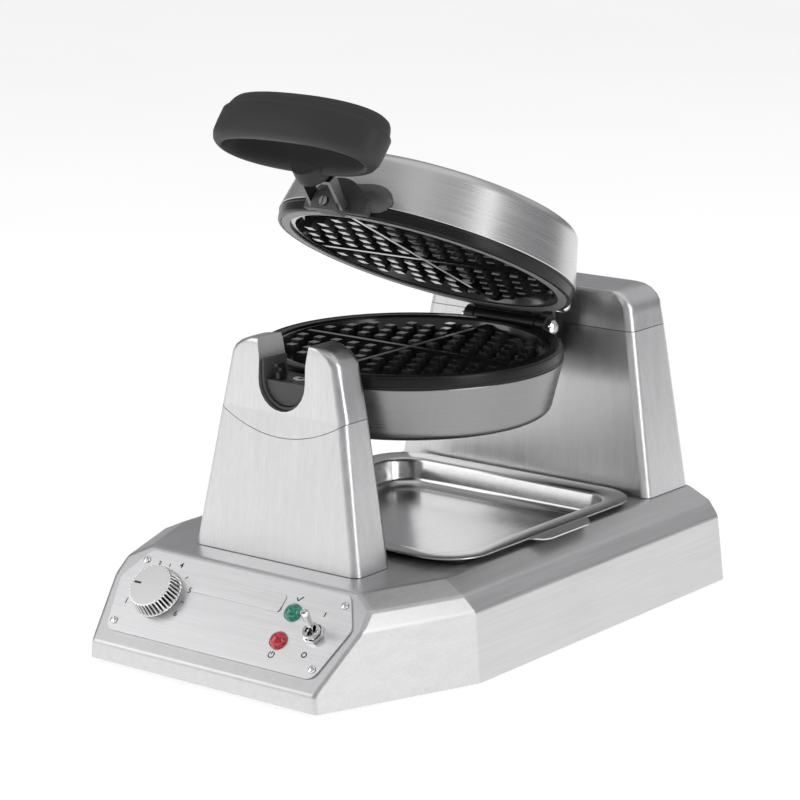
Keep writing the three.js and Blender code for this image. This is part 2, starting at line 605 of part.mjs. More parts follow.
const rearSkin = cut(postBody(REAR_POST, 0), postBody(REAR_POST, 2));
const rearSeam = AXIS_HEIGHT - 2.5;
const bearingHole = rod('y', BEARING_RADIUS + 0.5, BEARING_Y - 9, BEARING_Y + 16, 0, AXIS_HEIGHT, 40);
const rearBand = (z0, z1) => box(-REACH, REACH, HINGE_Y, BASE_LENGTH + 20, z0, z1);
add('rear_post_cover', cut(keep(rearSkin, rearBand(0, rearSeam)), bearingHole), 'steel');
add('rear_post_cap', cut(keep(rearSkin, rearBand(rearSeam + SEAM_GAP, 300)), bearingHole), 'steel');
const bearingBore = SHAFT_RADIUS + SHAFT_CLEAR;
const BEARING_LENGTH = 26;
add('rear_bearing', turnedY([
  [bearingBore, 0], [24, 0], [25, 1], [25, 2.6], [BEARING_RADIUS, 2.6], [BEARING_RADIUS, BEARING_LENGTH],
  [bearingBore, BEARING_LENGTH], [bearingBore, 0],
].map(([r, y]) => [r, BEARING_Y + y]), 28, 0, AXIS_HEIGHT), 'grey');
const [rearChannel, rearHollow] = channel(REAR_FRAME, -1);
const [, frameFront] = REAR_FRAME;
add('rear_post_frame', cut(
  join(rearChannel, box(-30, 30, frameFront, frameFront + 13.5, frameTop - 0.4, AXIS_HEIGHT + 17.5)),
  rearHollow,
  rod('y', BEARING_RADIUS + GAP, frameFront - 10, frameFront + 20, 0, AXIS_HEIGHT, 40),
), 'grey');

// cord entry, where the lead would come in, and the terminals behind it
add('cord_gland', turnedY([
  [2.8, -9], [10.5, -9], [10.5, -4.8], [6.8, -4.8], [6.8, GAP], [10.5, GAP], [10.5, 4], [8.2, 6],
  [7.2, GLAND_REACH], [2.8, GLAND_REACH], [2.8, -9],
].map(([r, y]) => [r, BASE_LENGTH + y]), 20, GLAND_X, GLAND_Z), 'black');
const TERMINAL = { x: REAR_FRAME[0] + 15, y: BASE_LENGTH - 54, top: 20 };
const terminalSlots = range(4).map((i) => {
  const x = TERMINAL.x + 6 + i * 11;
  return box(x, x + 5, TERMINAL.y - 4, TERMINAL.y + 26, TERMINAL.top - 8, TERMINAL.top + 10);
});
add('terminal_block', cut(
  box(TERMINAL.x, TERMINAL.x + 48, TERMINAL.y, TERMINAL.y + 22, frameFoot, TERMINAL.top), ...terminalSlots,
), 'ivory');

// ---------------------------------------------------------------- grid plates
// plate face at z 0, studs and cross ribs towards +z, back of the plate below
const RIB_HALF = 1.7;
const studRows = range(15).map((row) => row - 7);
function stud(x, y) {
  const b = STUD_BASE / 2;
  const t = STUD_TOP / 2;
  const ring = (h, z) => [[x - h, y - h, z], [x + h, y - h, z], [x + h, y + h, z], [x - h, y + h, z]];
  return solid(loft([ring(b, -0.5), ring(t, STUD_HEIGHT)]));
}
function gridPlate() {
  const wall = PLATE_RADIUS - 3.4;
  const dish = turned([
    [0, -5], [wall, -5], [PLATE_RADIUS, -2], [PLATE_RADIUS, STUD_HEIGHT + 0.2], [wall + 0.6, STUD_HEIGHT + 0.2],
    [wall - 1.4, 0], [0, 0],
  ], ROUND);
  const studs = [];
  studRows.forEach((row) => {
    const y = row * STUD_PITCH * 0.5;
    const shift = row % 2 === 0 ? 0 : STUD_PITCH / 2;
    range(15).map((i) => (i - 7) * STUD_PITCH + shift).forEach((x) => {
      const far = Math.hypot(Math.abs(x) + STUD_BASE / 2, Math.abs(y * 2) + STUD_BASE / 2);
      const clear = Math.min(Math.abs(x), Math.abs(y * 2)) > STUD_BASE / 2 + RIB_HALF + 0.4;
      if (far < wall - 2 && clear) studs.push(stud(x, y * 2));
    });
  });
  const rib = (x, y) => loft([
    atHeight(blockOutline(-x, x, -y, y, 0.5, 1), -0.5),
    atHeight(blockOutline(-x * 0.995, x * 0.995, -y * 0.995, y * 0.995, 0.5, 1), STUD_HEIGHT - 0.4),
  ]);
  const rounded = turned([[0, -2], [wall - 1.9, -2], [wall - 0.6, STUD_HEIGHT], [0, STUD_HEIGHT]], ROUND);
  const ribs = keep(join(rib(PLATE_RADIUS, RIB_HALF), rib(RIB_HALF, PLATE_RADIUS)), rounded);
  return join(dish, ribs, ...studs);
}

const lowerRimBottom = PARTING - RIM_HEIGHT;
const atRotor = (z) => (g) => g.translate(0, ROTOR_Y, z);
const faceDepth = STUD_HEIGHT + 2;
const grid = gridPlate();
add('lower_grid_plate', grid, 'black', atRotor(PARTING - faceDepth));

const REBATE_RADIUS = CASING_RADIUS - 3.2;
function rimRing(up, rebate) {
  const z = (v) => (up ? v : -v);
  return turned([
    [PLATE_RADIUS + GAP, z(RIM_HEIGHT)], [CASING_RADIUS, z(RIM_HEIGHT)], [CASING_RADIUS, z(RIM_HEIGHT - 1.2)],
    [RIM_TOP_RADIUS + 0.5, z(1.4)], [RIM_TOP_RADIUS - 0.8, z(0.3)],
    [REBATE_RADIUS, z(0.3)], [REBATE_RADIUS, z(rebate)],
    [PLATE_RADIUS + GAP, z(rebate)], [PLATE_RADIUS + GAP, z(RIM_HEIGHT)],
  ], ROUND);
}
add('lower_rim', rimRing(false, 0.6), 'black', atRotor(PARTING));

// bowl-shaped steel casing, closed end at z 0 and its mouth at the given height
function casing(height) {
  const end = CASING_END_RADIUS;
  const slope = (CASING_RADIUS - end) / (height - 6);
  const r = (z) => CASING_RADIUS - slope * (height - z);
  const t = SHEET;
  return turned([
    [0, 0], [end - 7, 0.3], [end - 3, 1.6], [end - 0.6, 4], [r(7.6), 7.6], [r(height), height],
    [r(height) - t, height], [r(8) - t, 8], [end - 2.2 - t, 3.4 + t], [end - 7.4, 0.3 + t], [0, t],
  ], ROUND);
}
const lowerHeight = lowerRimBottom - GAP - LOWER_BOTTOM;
add('lower_casing', cut(
  casing(lowerHeight), rod('y', 6, CASING_RADIUS - 38, CASING_RADIUS + 22, 0, 24, 20),
), 'steel', atRotor(LOWER_BOTTOM));

class Coil extends THREE.Curve {
  constructor(radius, dip) {
    super();
    this.radius = radius;
    this.dip = dip;
  }

  getPoint(t, target = new THREE.Vector3()) {
    const ends = THREE.MathUtils.smoothstep(Math.abs(t - 0.5) * 2, 0.9, 1);
    const a = (20 + 320 * t) * RAD + Math.PI / 2;
    const r = this.radius;
    return target.set(r * Math.cos(a), r * Math.sin(a), -this.dip * ends);
  }
}
const COIL_RADIUS = PLATE_RADIUS - 30.4;
function heater(dip) {
  const shape = new THREE.Shape(range(6).map((i) => {
    return new THREE.Vector2(3.2 * Math.cos(i * 60 * RAD), 3.2 * Math.sin(i * 60 * RAD));
  }));
  const path = new Coil(COIL_RADIUS, dip);
  return new THREE.ExtrudeGeometry(shape, { steps: 26, bevelEnabled: false, extrudePath: path });
}
add('lower_heater', heater(4), 'grey', atRotor(PARTING - faceDepth - 8.6));
const PAD_RADIUS = CASING_END_RADIUS - 7;
const pad = turned([[0, 0], [PAD_RADIUS - 4, 0], [PAD_RADIUS, 3], [PAD_RADIUS, 6], [0, 6]], 24);
add('lower_insulation', pad, 'ivory', atRotor(LOWER_BOTTOM + 3.4));

// ---------------------------------------------------------------- rotor bearings
const CLEAR_RADIUS = CASING_RADIUS + 0.5;
const casingClear = turned([[0, -52], [CLEAR_RADIUS, -52], [CLEAR_RADIUS, 58], [0, 58]], ROUND)
  .translate(0, ROTOR_Y, AXIS_HEIGHT);
const deckZ = AXIS_HEIGHT - 1;
const sideBand = (y0, y1, z0, z1) => box(-REACH, REACH, y0, y1, z0, z1);
const BRACKET_FRONT = RIM_FRONT - 2.9;
const BRACKET_BACK = RIM_FRONT + 10.1;
const lowerSide = sideBand(slotY[0], BRACKET_BACK + 10, 0, deckZ);
const WASHER_Y = JOURNAL_FRONT + 14.7;
add('front_journal', cut(
  keep(join(
    rod('y', JOURNAL_RADIUS, JOURNAL_FRONT, BRACKET_BACK, 0, AXIS_HEIGHT, 48),
    rod('y', 24, BRACKET_FRONT, BRACKET_BACK, 0, AXIS_HEIGHT, 48),
  ), lowerSide),
  casingClear,
  rod('z', 1.7, deckZ - 8, deckZ + 10, 0, JOURNAL_FRONT + 4.6, 16),
  rod('z', 5.9, deckZ - 1.6, deckZ + 10, 0, WASHER_Y, 28),
), 'grey');
add('journal_washer', cut(
  rod('z', 5.5, deckZ - 1.3, deckZ, 0, WASHER_Y, 28), rod('z', 2, deckZ - 10, deckZ + 10, 0, WASHER_Y, 16),
), 'bright');
// [forward to back, up from the journal's deck]
const hookOutline = [
  [0, 0.3], [7, 0.3], [7, 6.5], [5, 10.5], [-1.5, 10.5], [-1.5, 8.5], [2, 7.5], [2, 5.5], [0, 4.5],
].map(([y, z]) => [JOURNAL_FRONT + 2.1 + y, deckZ + z]);
const HOOK_X = 5.6 - JOURNAL_RADIUS;
const HOOK_THICK = 2.9;
add('latch_hook', slabXY(hookOutline, 0, HOOK_THICK), 'black', (g) => {
  const turn = new THREE.Matrix4().makeBasis(
    new THREE.Vector3(0, 1, 0), new THREE.Vector3(0, 0, 1), new THREE.Vector3(1, 0, 0),
  );
  return g.applyMatrix4(turn).translate(HOOK_X, 0, 0);
});

const KNUCKLE = 8;
const LUG_X = 25;
const ARM_X = LUG_X - 0.6;
const BRIDGE_Y = HINGE_Y - 23.5;
const lug = (x) => join(
  rod('x', KNUCKLE, x, x + KNUCKLE, HINGE_Y, HINGE_Z, 28),
  box(x, x + KNUCKLE, HINGE_Y - KNUCKLE, HINGE_Y + KNUCKLE, HINGE_Z - 15, HINGE_Z),
);
const hingeBore = rod('x', PIN_RADIUS + PIN_CLEAR, -50, 50, HINGE_Y, HINGE_Z, 20);
const flangeY = [BEARING_Y - 6.4, BEARING_Y - 2.5];
add('lower_hinge_bracket', cut(
  join(
    box(-LUG_X - KNUCKLE, LUG_X + KNUCKLE, BRIDGE_Y, flangeY[1], HINGE_Z - 22, HINGE_Z - 9.5),
    lug(-LUG_X - KNUCKLE), lug(LUG_X),
    rod('y', 14, ...flangeY, 0, AXIS_HEIGHT, 32), box(-14, 14, ...flangeY, HINGE_Z - 20, AXIS_HEIGHT),
  ),
  casingClear,
  hingeBore,
  rod('y', 5.2, flangeY[0] - 5, flangeY[1] + 4, 0, AXIS_HEIGHT, 20),
), 'black');
add('hinge_pin', turnedX([
  [0, -38], [3, -37.6], [5, -36], [5, -33.4], [PIN_RADIUS, -33.4],
  [PIN_RADIUS, 33.4], [5, 33.4], [5, 36], [3, 37.6], [0, 38],
], 16, HINGE_Y, HINGE_Z), 'bright');
const shaftStart = flangeY[1] + 0.3;
const shaftEnd = BEARING_Y + BEARING_LENGTH + 4.5;
add('rotor_shaft', turnedY([
  [5, shaftStart], [SHAFT_RADIUS, shaftStart], [SHAFT_RADIUS, shaftEnd], [5, shaftEnd], [5, shaftStart],
], 32, 0, AXIS_HEIGHT), 'bright');
add('shaft_retainer', cut(
  rod('y', 14, shaftEnd - 4.1, shaftEnd - 0.1, 0, AXIS_HEIGHT, 6),
  rod('y', SHAFT_RADIUS + GAP, shaftEnd - 9, shaftEnd + 3, 0, AXIS_HEIGHT, 32),
), 'grey');

// ---------------------------------------------------------------- lid, built shut and then opened
function opened(g) {
  return g.translate(0, -HINGE_Y, -HINGE_Z).rotateX(-LID_OPEN * RAD).translate(0, HINGE_Y, HINGE_Z);
}
const LID_BASE = PARTING + 0.3;
const onLid = (z, flip) => (g) => opened((flip ? g.rotateX(Math.PI) : g).translate(0, ROTOR_Y, z));
add('lid_rim', rimRing(true, 1.8), 'black', onLid(LID_BASE, false));
add('lid_seal_ring', turned([
  [PLATE_RADIUS + GAP, 0.3], [REBATE_RADIUS - 0.3, 0.3], [REBATE_RADIUS - 0.3, 1.5], [PLATE_RADIUS + GAP, 1.5],
  [PLATE_RADIUS + GAP, 0.3],
], ROUND), 'grey', onLid(LID_BASE, false));
add('lid_grid_plate', grid, 'black', onLid(LID_BASE + faceDepth, true));
add('lid_casing', casing(LID_HEIGHT - RIM_HEIGHT - GAP), 'steel', onLid(LID_BASE + LID_HEIGHT, true));
add('lid_heater', heater(4), 'grey', onLid(LID_BASE + faceDepth + 8.6, true));
add('lid_insulation', pad, 'ivory', onLid(LID_BASE + LID_HEIGHT - 3.4, true));

const CROSS_X = 40;
add('lid_hinge_arm', cut(
  join(
    rod('x', KNUCKLE, -ARM_X, ARM_X, HINGE_Y, HINGE_Z, 28),
    box(-ARM_X, ARM_X, BRIDGE_Y, HINGE_Y, LID_BASE + 0.4, HINGE_Z + 10.5),
    box(-CROSS_X, CROSS_X, BRIDGE_Y - 5, HINGE_Y - 6, HINGE_Z + 9, HINGE_Z + 13),
  ),
  casingClear,
  hingeBore,
  sideBand(HINGE_Y - 13.5, HINGE_Y - KNUCKLE - 0.2, HINGE_Z - 20, LID_BASE + 0.3),
), 'black', opened);
const stopStud = (side) => turnedX([
  [0, 0.3], [5.5, 0.3], [5.5, 6.4], [4.4, 8.6], [2.4, 10], [0, 10.4],
].map(([r, x]) => [r, side * (CROSS_X + x)]), 24, HINGE_Y - 10.5, HINGE_Z + 14);
add('lid_stop_stud_right', stopStud(1), 'bright', opened);
add('lid_stop_stud_left', stopStud(-1), 'bright', opened);

// front bracket: rounded body against the rim, tongue forward into the bearing slot
const upperSide = sideBand(slotY[0], BRACKET_BACK + 10, AXIS_HEIGHT + 0.6, AXIS_HEIGHT + 60);
const EAR_Y = RIM_FRONT + 8.7;
const EAR_Z = AXIS_HEIGHT + 15.5;
const EAR = [[0, 10], [11.4, 10], [11.4, 20], [10.8, 25], [9.2, 29.5], [6.4, 33], [3, 35], [0, 35.6]];
const bracketBody = keep(join(
  rod('y', 24, BRACKET_FRONT, BRACKET_BACK, 0, LID_BASE - 2, 48),
  box(-24, 24, BRACKET_FRONT, RIM_FRONT + 8.1, LID_BASE - 1, AXIS_HEIGHT + 12.5),
  turnedX(EAR, 32, EAR_Y, EAR_Z),
), sideBand(BRACKET_FRONT, BRACKET_BACK + 10, LID_BASE + 0.3, AXIS_HEIGHT + 60));
const tongueRod = rod('y', JOURNAL_RADIUS - 5.7, FOLD_Y - 6, BRACKET_FRONT + 1, 0, FOLD_Z - 2, 36);
const tongue = keep(tongueRod, upperSide);
const foldBore = rod('x', 2.8, -20, 20, FOLD_Y, FOLD_Z, 20);
add('lid_front_bracket', cut(join(bracketBody, tongue), casingClear, foldBore), 'grey', opened);
add('tongue_screw', cut(
  rod('y', 3.1, FOLD_Y - 7.4, FOLD_Y - 6.3, 0, FOLD_Z - 1, 20),
  box(-0.5, 0.5, FOLD_Y - 9, FOLD_Y - 6.9, FOLD_Z - 5, FOLD_Z + 3),
), 'bright', opened);

// ---------------------------------------------------------------- folding handle
// built reaching straight out along -Y from the fold pin, then raised to its rest angle
const GRIP_Y = FOLD_Y - GRIP_REACH * Math.cos((33 - FOLD_REST) * RAD);
const GRIP_Z = FOLD_Z + GRIP_REACH * Math.sin((33 - FOLD_REST) * RAD);
const GRIP_TIP = -18;
function raised(g) {
  return opened(g.translate(0, -FOLD_Y, -FOLD_Z).rotateX(-FOLD_REST * RAD).translate(0, FOLD_Y, FOLD_Z));
}
function gripRing([inset, thick, h]) {
  const n = 36;
  const e = 2 / 2.25;
  return range(n).map((i) => {
    const a = (2 * Math.PI * (i + 0.5)) / n;
    const c = Math.cos(a);
    const s = Math.sin(a);
    const far = s < 0 ? 1 - 0.25 * s : 1;
    const back = inset + thick * far;
    const x = (GRIP_HALF_WIDTH - back) * Math.sign(c) * Math.abs(c) ** e;
    const y = (GRIP_HALF_DEPTH - back) * Math.sign(s) * Math.abs(s) ** e;
    return [x, y, h];
  });
}
const hb = GRIP_BAND / 2;
const gripLoop = band([
  [6.5, 0, -hb], [2.6, 0, -hb + 2.2], [0.7, 0, -hb + 6], [0, 0, 2],
  [1.2, 0, 7.5], [3.4, 0, hb - 2.4], [6.2, 0, hb],
  [0, 7.6, hb], [0, 9.6, hb - 3], [0, 10.4, hb - 9], [0, 10.4, -hb + 9], [0, 9.6, -hb + 3], [0, 8, -hb],
].map(gripRing)).rotateX(-GRIP_TIP * RAD).translate(0, GRIP_Y, GRIP_Z);
const bossBack = FOLD_Y - 22.3;
const boss = rod('y', JOURNAL_RADIUS - 3.5, bossBack - 11.2, bossBack, 0, FOLD_Z - 1.3, 32);
const slotSpace = rod('y', JOURNAL_RADIUS - 0.4, ...slotY, 0, AXIS_HEIGHT, 48);
const loopHole = band([
  [0, 8, -hb - 2], [0, 8, hb + 2], [0, 30, hb + 2], [0, 30, -hb - 2],
].map(gripRing)).rotateX(-GRIP_TIP * RAD).translate(0, GRIP_Y, GRIP_Z);
add('handle_grip', join(gripLoop, cut(boss, loopHole)), 'rubber', raised);
const ARM_IN = JOURNAL_RADIUS - 5.2;
const ARM_THICK = 2.6;
const ARM_HIGH = 5;
const armBlock = (x0, x1, y0, y1) => box(x0, x1, y0, y1, FOLD_Z - ARM_HIGH, FOLD_Z + ARM_HIGH);
const armPlate = (x) => join(
  rod('x', ARM_HIGH, x, x + ARM_THICK, FOLD_Y, FOLD_Z, 24), armBlock(x, x + ARM_THICK, bossBack + 0.8, FOLD_Y),
);
const ARM_OUT = ARM_IN + ARM_THICK;
const forkBridge = armBlock(-ARM_OUT, ARM_OUT, bossBack + 0.4, bossBack + 2.8);
const fork = keep(join(armPlate(ARM_IN), armPlate(-ARM_OUT), forkBridge), slotSpace);
add('handle_fork', cut(fork, foldBore), 'bright', raised);
add('fold_pin', rod('x', 2.5, -12.4, 12.4, FOLD_Y, FOLD_Z, 20), 'bright', opened);

export default group;
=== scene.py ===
# %% [markdown]
# # A turn-over waffle maker, dressed for the studio
# The solid model of the machine is already built and packed: every sheet, pin and plate
# has its place. This lesson loads it as a fixed frame and gives it the surfaces a cook
# would see: brushed steel, a polished tray, black coated plates and a moulded handle.
# Everything is in metres, with +Z up and the control panel towards -Y.

# %% Load the frame
import json
import math

import bmesh
import bpy
from mathutils import Matrix, Vector

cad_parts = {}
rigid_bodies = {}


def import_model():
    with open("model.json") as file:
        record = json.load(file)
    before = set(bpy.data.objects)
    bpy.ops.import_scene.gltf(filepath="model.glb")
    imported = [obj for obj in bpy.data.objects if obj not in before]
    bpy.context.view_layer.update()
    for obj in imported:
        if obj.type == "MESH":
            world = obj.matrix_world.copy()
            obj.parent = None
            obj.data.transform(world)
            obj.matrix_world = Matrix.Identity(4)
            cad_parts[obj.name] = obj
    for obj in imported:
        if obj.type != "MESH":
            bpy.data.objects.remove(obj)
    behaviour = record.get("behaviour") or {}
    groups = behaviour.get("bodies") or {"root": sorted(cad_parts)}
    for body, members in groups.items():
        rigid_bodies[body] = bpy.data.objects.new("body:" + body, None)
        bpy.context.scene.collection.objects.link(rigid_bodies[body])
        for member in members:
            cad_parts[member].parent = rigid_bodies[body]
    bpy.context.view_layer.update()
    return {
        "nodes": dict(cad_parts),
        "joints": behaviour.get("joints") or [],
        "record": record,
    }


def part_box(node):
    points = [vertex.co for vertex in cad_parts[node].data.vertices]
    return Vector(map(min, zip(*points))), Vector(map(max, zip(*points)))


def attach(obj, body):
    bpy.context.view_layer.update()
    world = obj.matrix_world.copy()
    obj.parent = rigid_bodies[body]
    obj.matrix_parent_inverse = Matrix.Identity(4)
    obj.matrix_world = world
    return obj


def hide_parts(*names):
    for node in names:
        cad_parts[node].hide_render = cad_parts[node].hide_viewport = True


for leftover in list(bpy.data.objects):
    bpy.data.objects.remove(leftover)
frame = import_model()
MM = 0.001

# %% [markdown]
# Three places on the machine have their own slanted axes: the control panel leans back
# at 45 degrees, the open lid has turned about its rear hinge, and the handle has turned
# once more about its fold pin. A matrix for each lets later cells model a piece lying
# flat and square, and then put it where it belongs.

# %% Places on the machine
PANEL_TILT = math.radians(45)
LID_TILT = math.radians(-27.16)
HANDLE_LIFT = math.radians(-30)


def joint(name):
    return next(j for j in frame["joints"] if j["name"] == name)


def turn_about(point, angle):
    there = Matrix.Translation(Vector(point))
    return there @ Matrix.Rotation(angle, 4, "X") @ there.inverted()


def middle(node):
    low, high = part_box(node)
    return (low + high) / 2


rotor_mid = middle("lower_casing")
hinge = Vector(joint("lid_hinge")["pos_m"])
AT_LID = turn_about(hinge, LID_TILT)
fold = AT_LID.inverted() @ Vector(joint("handle_fold")["pos_m"])
AT_HANDLE = AT_LID @ turn_about(fold, HANDLE_LIFT)
base_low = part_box("base_shell")[0]
LIP_HEIGHT = 11 * MM
AT_PANEL = (Matrix.Translation((0, base_low.y, base_low.z + LIP_HEIGHT))
            @ Matrix.Rotation(PANEL_TILT, 4, "X"))
print("rotor", tuple(rotor_mid), "hinge", tuple(hinge), "fold", tuple(fold))

# %% [markdown]
# A long lens from a little above the worktop keeps the posts nearly parallel. The camera
# is aimed with a matrix built from the direction it looks, plus a hair of roll.

# %% Camera
CAMERA_AT = Vector((1.1592, -1.4812, 0.5897))
LOOK_AT = Vector((-0.0332, 0.0340, 0.1298))
ROLL = math.radians(-0.22)

lens = bpy.data.cameras.new("studio_camera")
lens.lens = 136.55
lens.sensor_width = 36
lens.shift_x = 0.0078
lens.shift_y = 0.001
lens.clip_end = 30
camera = bpy.data.objects.new("studio_camera", lens)
bpy.context.scene.collection.objects.link(camera)
aim = (LOOK_AT - CAMERA_AT).to_track_quat("-Z", "Y").to_matrix().to_4x4()
camera.matrix_world = Matrix.Translation(CAMERA_AT) @ aim @ Matrix.Rotation(ROLL, 4, "Z")
bpy.context.scene.camera = camera
print("camera", round((LOOK_AT - CAMERA_AT).length, 3), "m from the machine")

# %% [markdown]
# Shader nodes are easier to read as sums. The small class below wraps one output socket
# and overloads plus, minus and times, so `1 - mask` or `grain * 0.2 + 0.3` adds its own
# Math nodes. Every other node comes from one method, `node`, which takes the type of
# node, its settings and what goes into its sockets.

# %% Signals
class Signal:
    """One output socket of a node tree, with arithmetic."""

    def __init__(self, writer, socket):
        self.writer = writer
        self.socket = socket

    def _math(self, operation, a, b):
        return self.writer.node("ShaderNodeMath", {"operation": operation}, {0: a, 1: b})["Value"]

    def __add__(self, other):
        return self._math("ADD", self, other)

    def __sub__(self, other):
        return self._math("SUBTRACT", self, other)

    def __rsub__(self, other):
        return self._math("SUBTRACT", other, self)

    def __mul__(self, other):
        return self._math("MULTIPLY", self, other)

    __radd__ = __add__
    __rmul__ = __mul__


class Made:
    """A node that has been made: its outputs by name, each as a Signal."""

    def __init__(self, writer, node):
        self.writer = writer
        self.node = node

    def __getitem__(self, name):
        return Signal(self.writer, self.node.outputs[name])


def grey(level, tint=(1, 1, 1)):
    return (level * tint[0], level * tint[1], level * tint[2], 1)


print("signals can be added, subtracted and multiplied")

# %% Writers of node trees
class Shading:
    """A node tree being written."""

    def __init__(self, tree):
        self.tree = tree

    def node(self, kind, settings=None, inputs=None):
        made = self.tree.nodes.new(kind)
        for key, value in (settings or {}).items():
            if key == "stops":
                self.fill_ramp(made.color_ramp, value)
            else:
                setattr(made, key, value)
        for key, value in (inputs or {}).items():
            self.feed(made.inputs[key], value)
        return Made(self, made)

    def fill_ramp(self, ramp, stops):
        """Each stop is a position with a level of grey or a colour."""
        while len(ramp.elements) < len(stops):
            ramp.elements.new(1)
        for element, (position, shade) in zip(ramp.elements, stops):
            element.position = position
            element.color = shade if isinstance(shade, tuple) else grey(shade)

    def feed(self, socket, value):
        if isinstance(value, Signal):
            self.tree.links.new(value.socket, socket)
        else:
            socket.default_value = value


class Finish(Shading):
    """A material being written, around one Principled BSDF."""

    def __init__(self, name, **constants):
        self.material = bpy.data.materials.new(name)
        self.material.use_nodes = True
        super().__init__(self.material.node_tree)
        self.surface = self.tree.nodes["Principled BSDF"]
        for key, value in constants.items():
            self.surface.inputs[key.replace("_", " ")].default_value = value

    def set(self, **signals):
        for key, value in signals.items():
            self.feed(self.surface.inputs[key.replace("_", " ")], value)

    def place(self, scale=(1, 1, 1)):
        """Coordinates fixed to the machine, stretched by scale."""
        at = self.node("ShaderNodeTexCoord")["Object"]
        return self.node("ShaderNodeVectorMath", {"operation": "MULTIPLY"}, {0: at, 1: scale})["Vector"]

    def noise(self, scale, detail=2.0, stretch=(1, 1, 1), roughness=0.5):
        return self.node("ShaderNodeTexNoise", None, {
            "Vector": self.place(stretch), "Scale": scale, "Detail": detail, "Roughness": roughness,
        })["Fac"]

    def ramp(self, signal, *stops):
        return self.node("ShaderNodeValToRGB", {"stops": stops}, {"Fac": signal})["Color"]

    def blend(self, factor, first, second):
        return self.node("ShaderNodeMix", {"data_type": "RGBA"}, {
            "Factor": factor, "A": first, "B": second,
        })["Result"]

    def bump(self, height, strength, distance):
        return self.node("ShaderNodeBump", None, {
            "Height": height, "Strength": strength, "Distance": distance,
        })["Normal"]


print("node trees can be written")

# %% [markdown]
# Steel has hardly any colour of its own: what it shows is the room. So the room matters
# as much as the metal. Big soft panels stand to the left, to the right, behind and
# overhead, and the room between them is darker, which draws the grey bands along every
# bend. The camera itself sees a plain white backdrop.

# %% Room
ROOM_STRENGTH = 0.8
ROOM_FROM_FLOOR_TO_CEILING = (
    (0.0, (0.22, 0.22, 0.23, 1)), (0.35, (0.40, 0.40, 0.41, 1)), (1.0, (0.52, 0.52, 0.53, 1)),
)
world = bpy.data.worlds.new("studio_room")
bpy.context.scene.world = world
world.use_nodes = True
world.node_tree.nodes.clear()
room = Shading(world.node_tree)
direction = room.node("ShaderNodeTexCoord")["Generated"]
upward = room.node("ShaderNodeSeparateXYZ", None, {"Vector": direction})["Z"]
walls = room.node("ShaderNodeValToRGB", {"stops": ROOM_FROM_FLOOR_TO_CEILING}, {"Fac": upward})["Color"]
surroundings = room.node("ShaderNodeBackground", None, {"Color": walls, "Strength": ROOM_STRENGTH})
backdrop = room.node("ShaderNodeBackground", None, {"Color": grey(1), "Strength": 1.0})
eye_ray = room.node("ShaderNodeLightPath")["Is Camera Ray"]
either = room.node("ShaderNodeMixShader", None, {
    0: eye_ray, 1: surroundings["Background"], 2: backdrop["Background"],
})["Shader"]
room.node("ShaderNodeOutputWorld", None, {"Surface": either})
bpy.context.scene.view_settings.view_transform = "Standard"
print("room written with", len(world.node_tree.nodes), "nodes")

# %% Soft panels of light
LIGHTS_AIM_AT = Vector((0, 0, 0.15))


def softbox(name, at, size, power):
    light = bpy.data.lights.new(name, "AREA")
    light.shape = "RECTANGLE"
    light.size, light.size_y = size
    light.energy = power
    lamp = bpy.data.objects.new(name, light)
    bpy.context.scene.collection.objects.link(lamp)
    facing = (LIGHTS_AIM_AT - Vector(at)).to_track_quat("-Z", "Y")
    lamp.matrix_world = Matrix.Translation(Vector(at)) @ facing.to_matrix().to_4x4()


softbox("overhead_panel", (0.1, 0.2, 2.0), (2.2, 2.2), 5)
softbox("left_panel", (-1.5, -1.5, 1.1), (1.3, 1.6), 10)
softbox("right_panel", (2.0, -0.2, 0.9), (0.9, 1.4), 10.5)
softbox("rear_panel", (0.3, 2.2, 1.3), (2.2, 1.0), 1.5)

# %% [markdown]
# Brushed stainless steel is a metal whose surface carries thousands of fine scratches
# that all run one way. Noise squeezed hard along one axis gives those lines; the same
# noise feeds roughness, a little colour and a very shallow bump, and a broad soft noise
# adds the faint clouds that handling leaves.

# %% Brushed steel
SCRATCHES_PER_METRE = 1200
STEEL_TINT = (1.0, 1.0, 1.005)


def squeezed(along, share):
    """Stretches two axes by 1, and the axis that the scratches follow by share."""
    return [share if axis == along else 1.0 for axis in range(3)]


def brushed_steel(name, level, along, roughness):
    """along is the axis, 0, 1 or 2, that the scratches follow."""
    steel = Finish(name, Metallic=1.0)
    fine = steel.noise(SCRATCHES_PER_METRE, 3.0, squeezed(along, 0.015), 0.6)
    streak = steel.noise(SCRATCHES_PER_METRE / 7, 2.0, squeezed(along, 0.06))
    cloud = steel.noise(14, 2.0)
    lines = steel.ramp(fine * 0.6 + streak * 0.4, (0.32, 0.0), (0.68, 1.0))
    steel.set(
        Base_Color=steel.blend(lines, grey(level * 0.88, STEEL_TINT), grey(level * 1.04, STEEL_TINT)),
        Roughness=lines * 0.10 + cloud * 0.08 + (roughness - 0.11),
        Normal=steel.bump(lines, 0.16, 0.00012),
    )
    return steel.material


base_steel = brushed_steel("steel_brushed_lengthways", 0.72, 1, 0.42)
panel_steel = brushed_steel("steel_brushed_across", 0.88, 0, 0.40)
post_steel = brushed_steel("steel_brushed_upright", 0.76, 2, 0.36)
print("brushed:", base_steel.name, panel_steel.name, post_steel.name)

# %% [markdown]
# The two bowl-shaped casings were spun and polished on a lathe, so their scratches run
# round them. Distance from the bowl's axis can't be squeezed along X, Y or Z, so these
# use height and radius: a ring pattern is a noise read at (radius, height) only.

# %% Spun steel for the casings
RINGS_PER_METRE = 1600
DRIFT_PER_TURN = 0.0012
SPUN_ROUGHNESS = 0.30


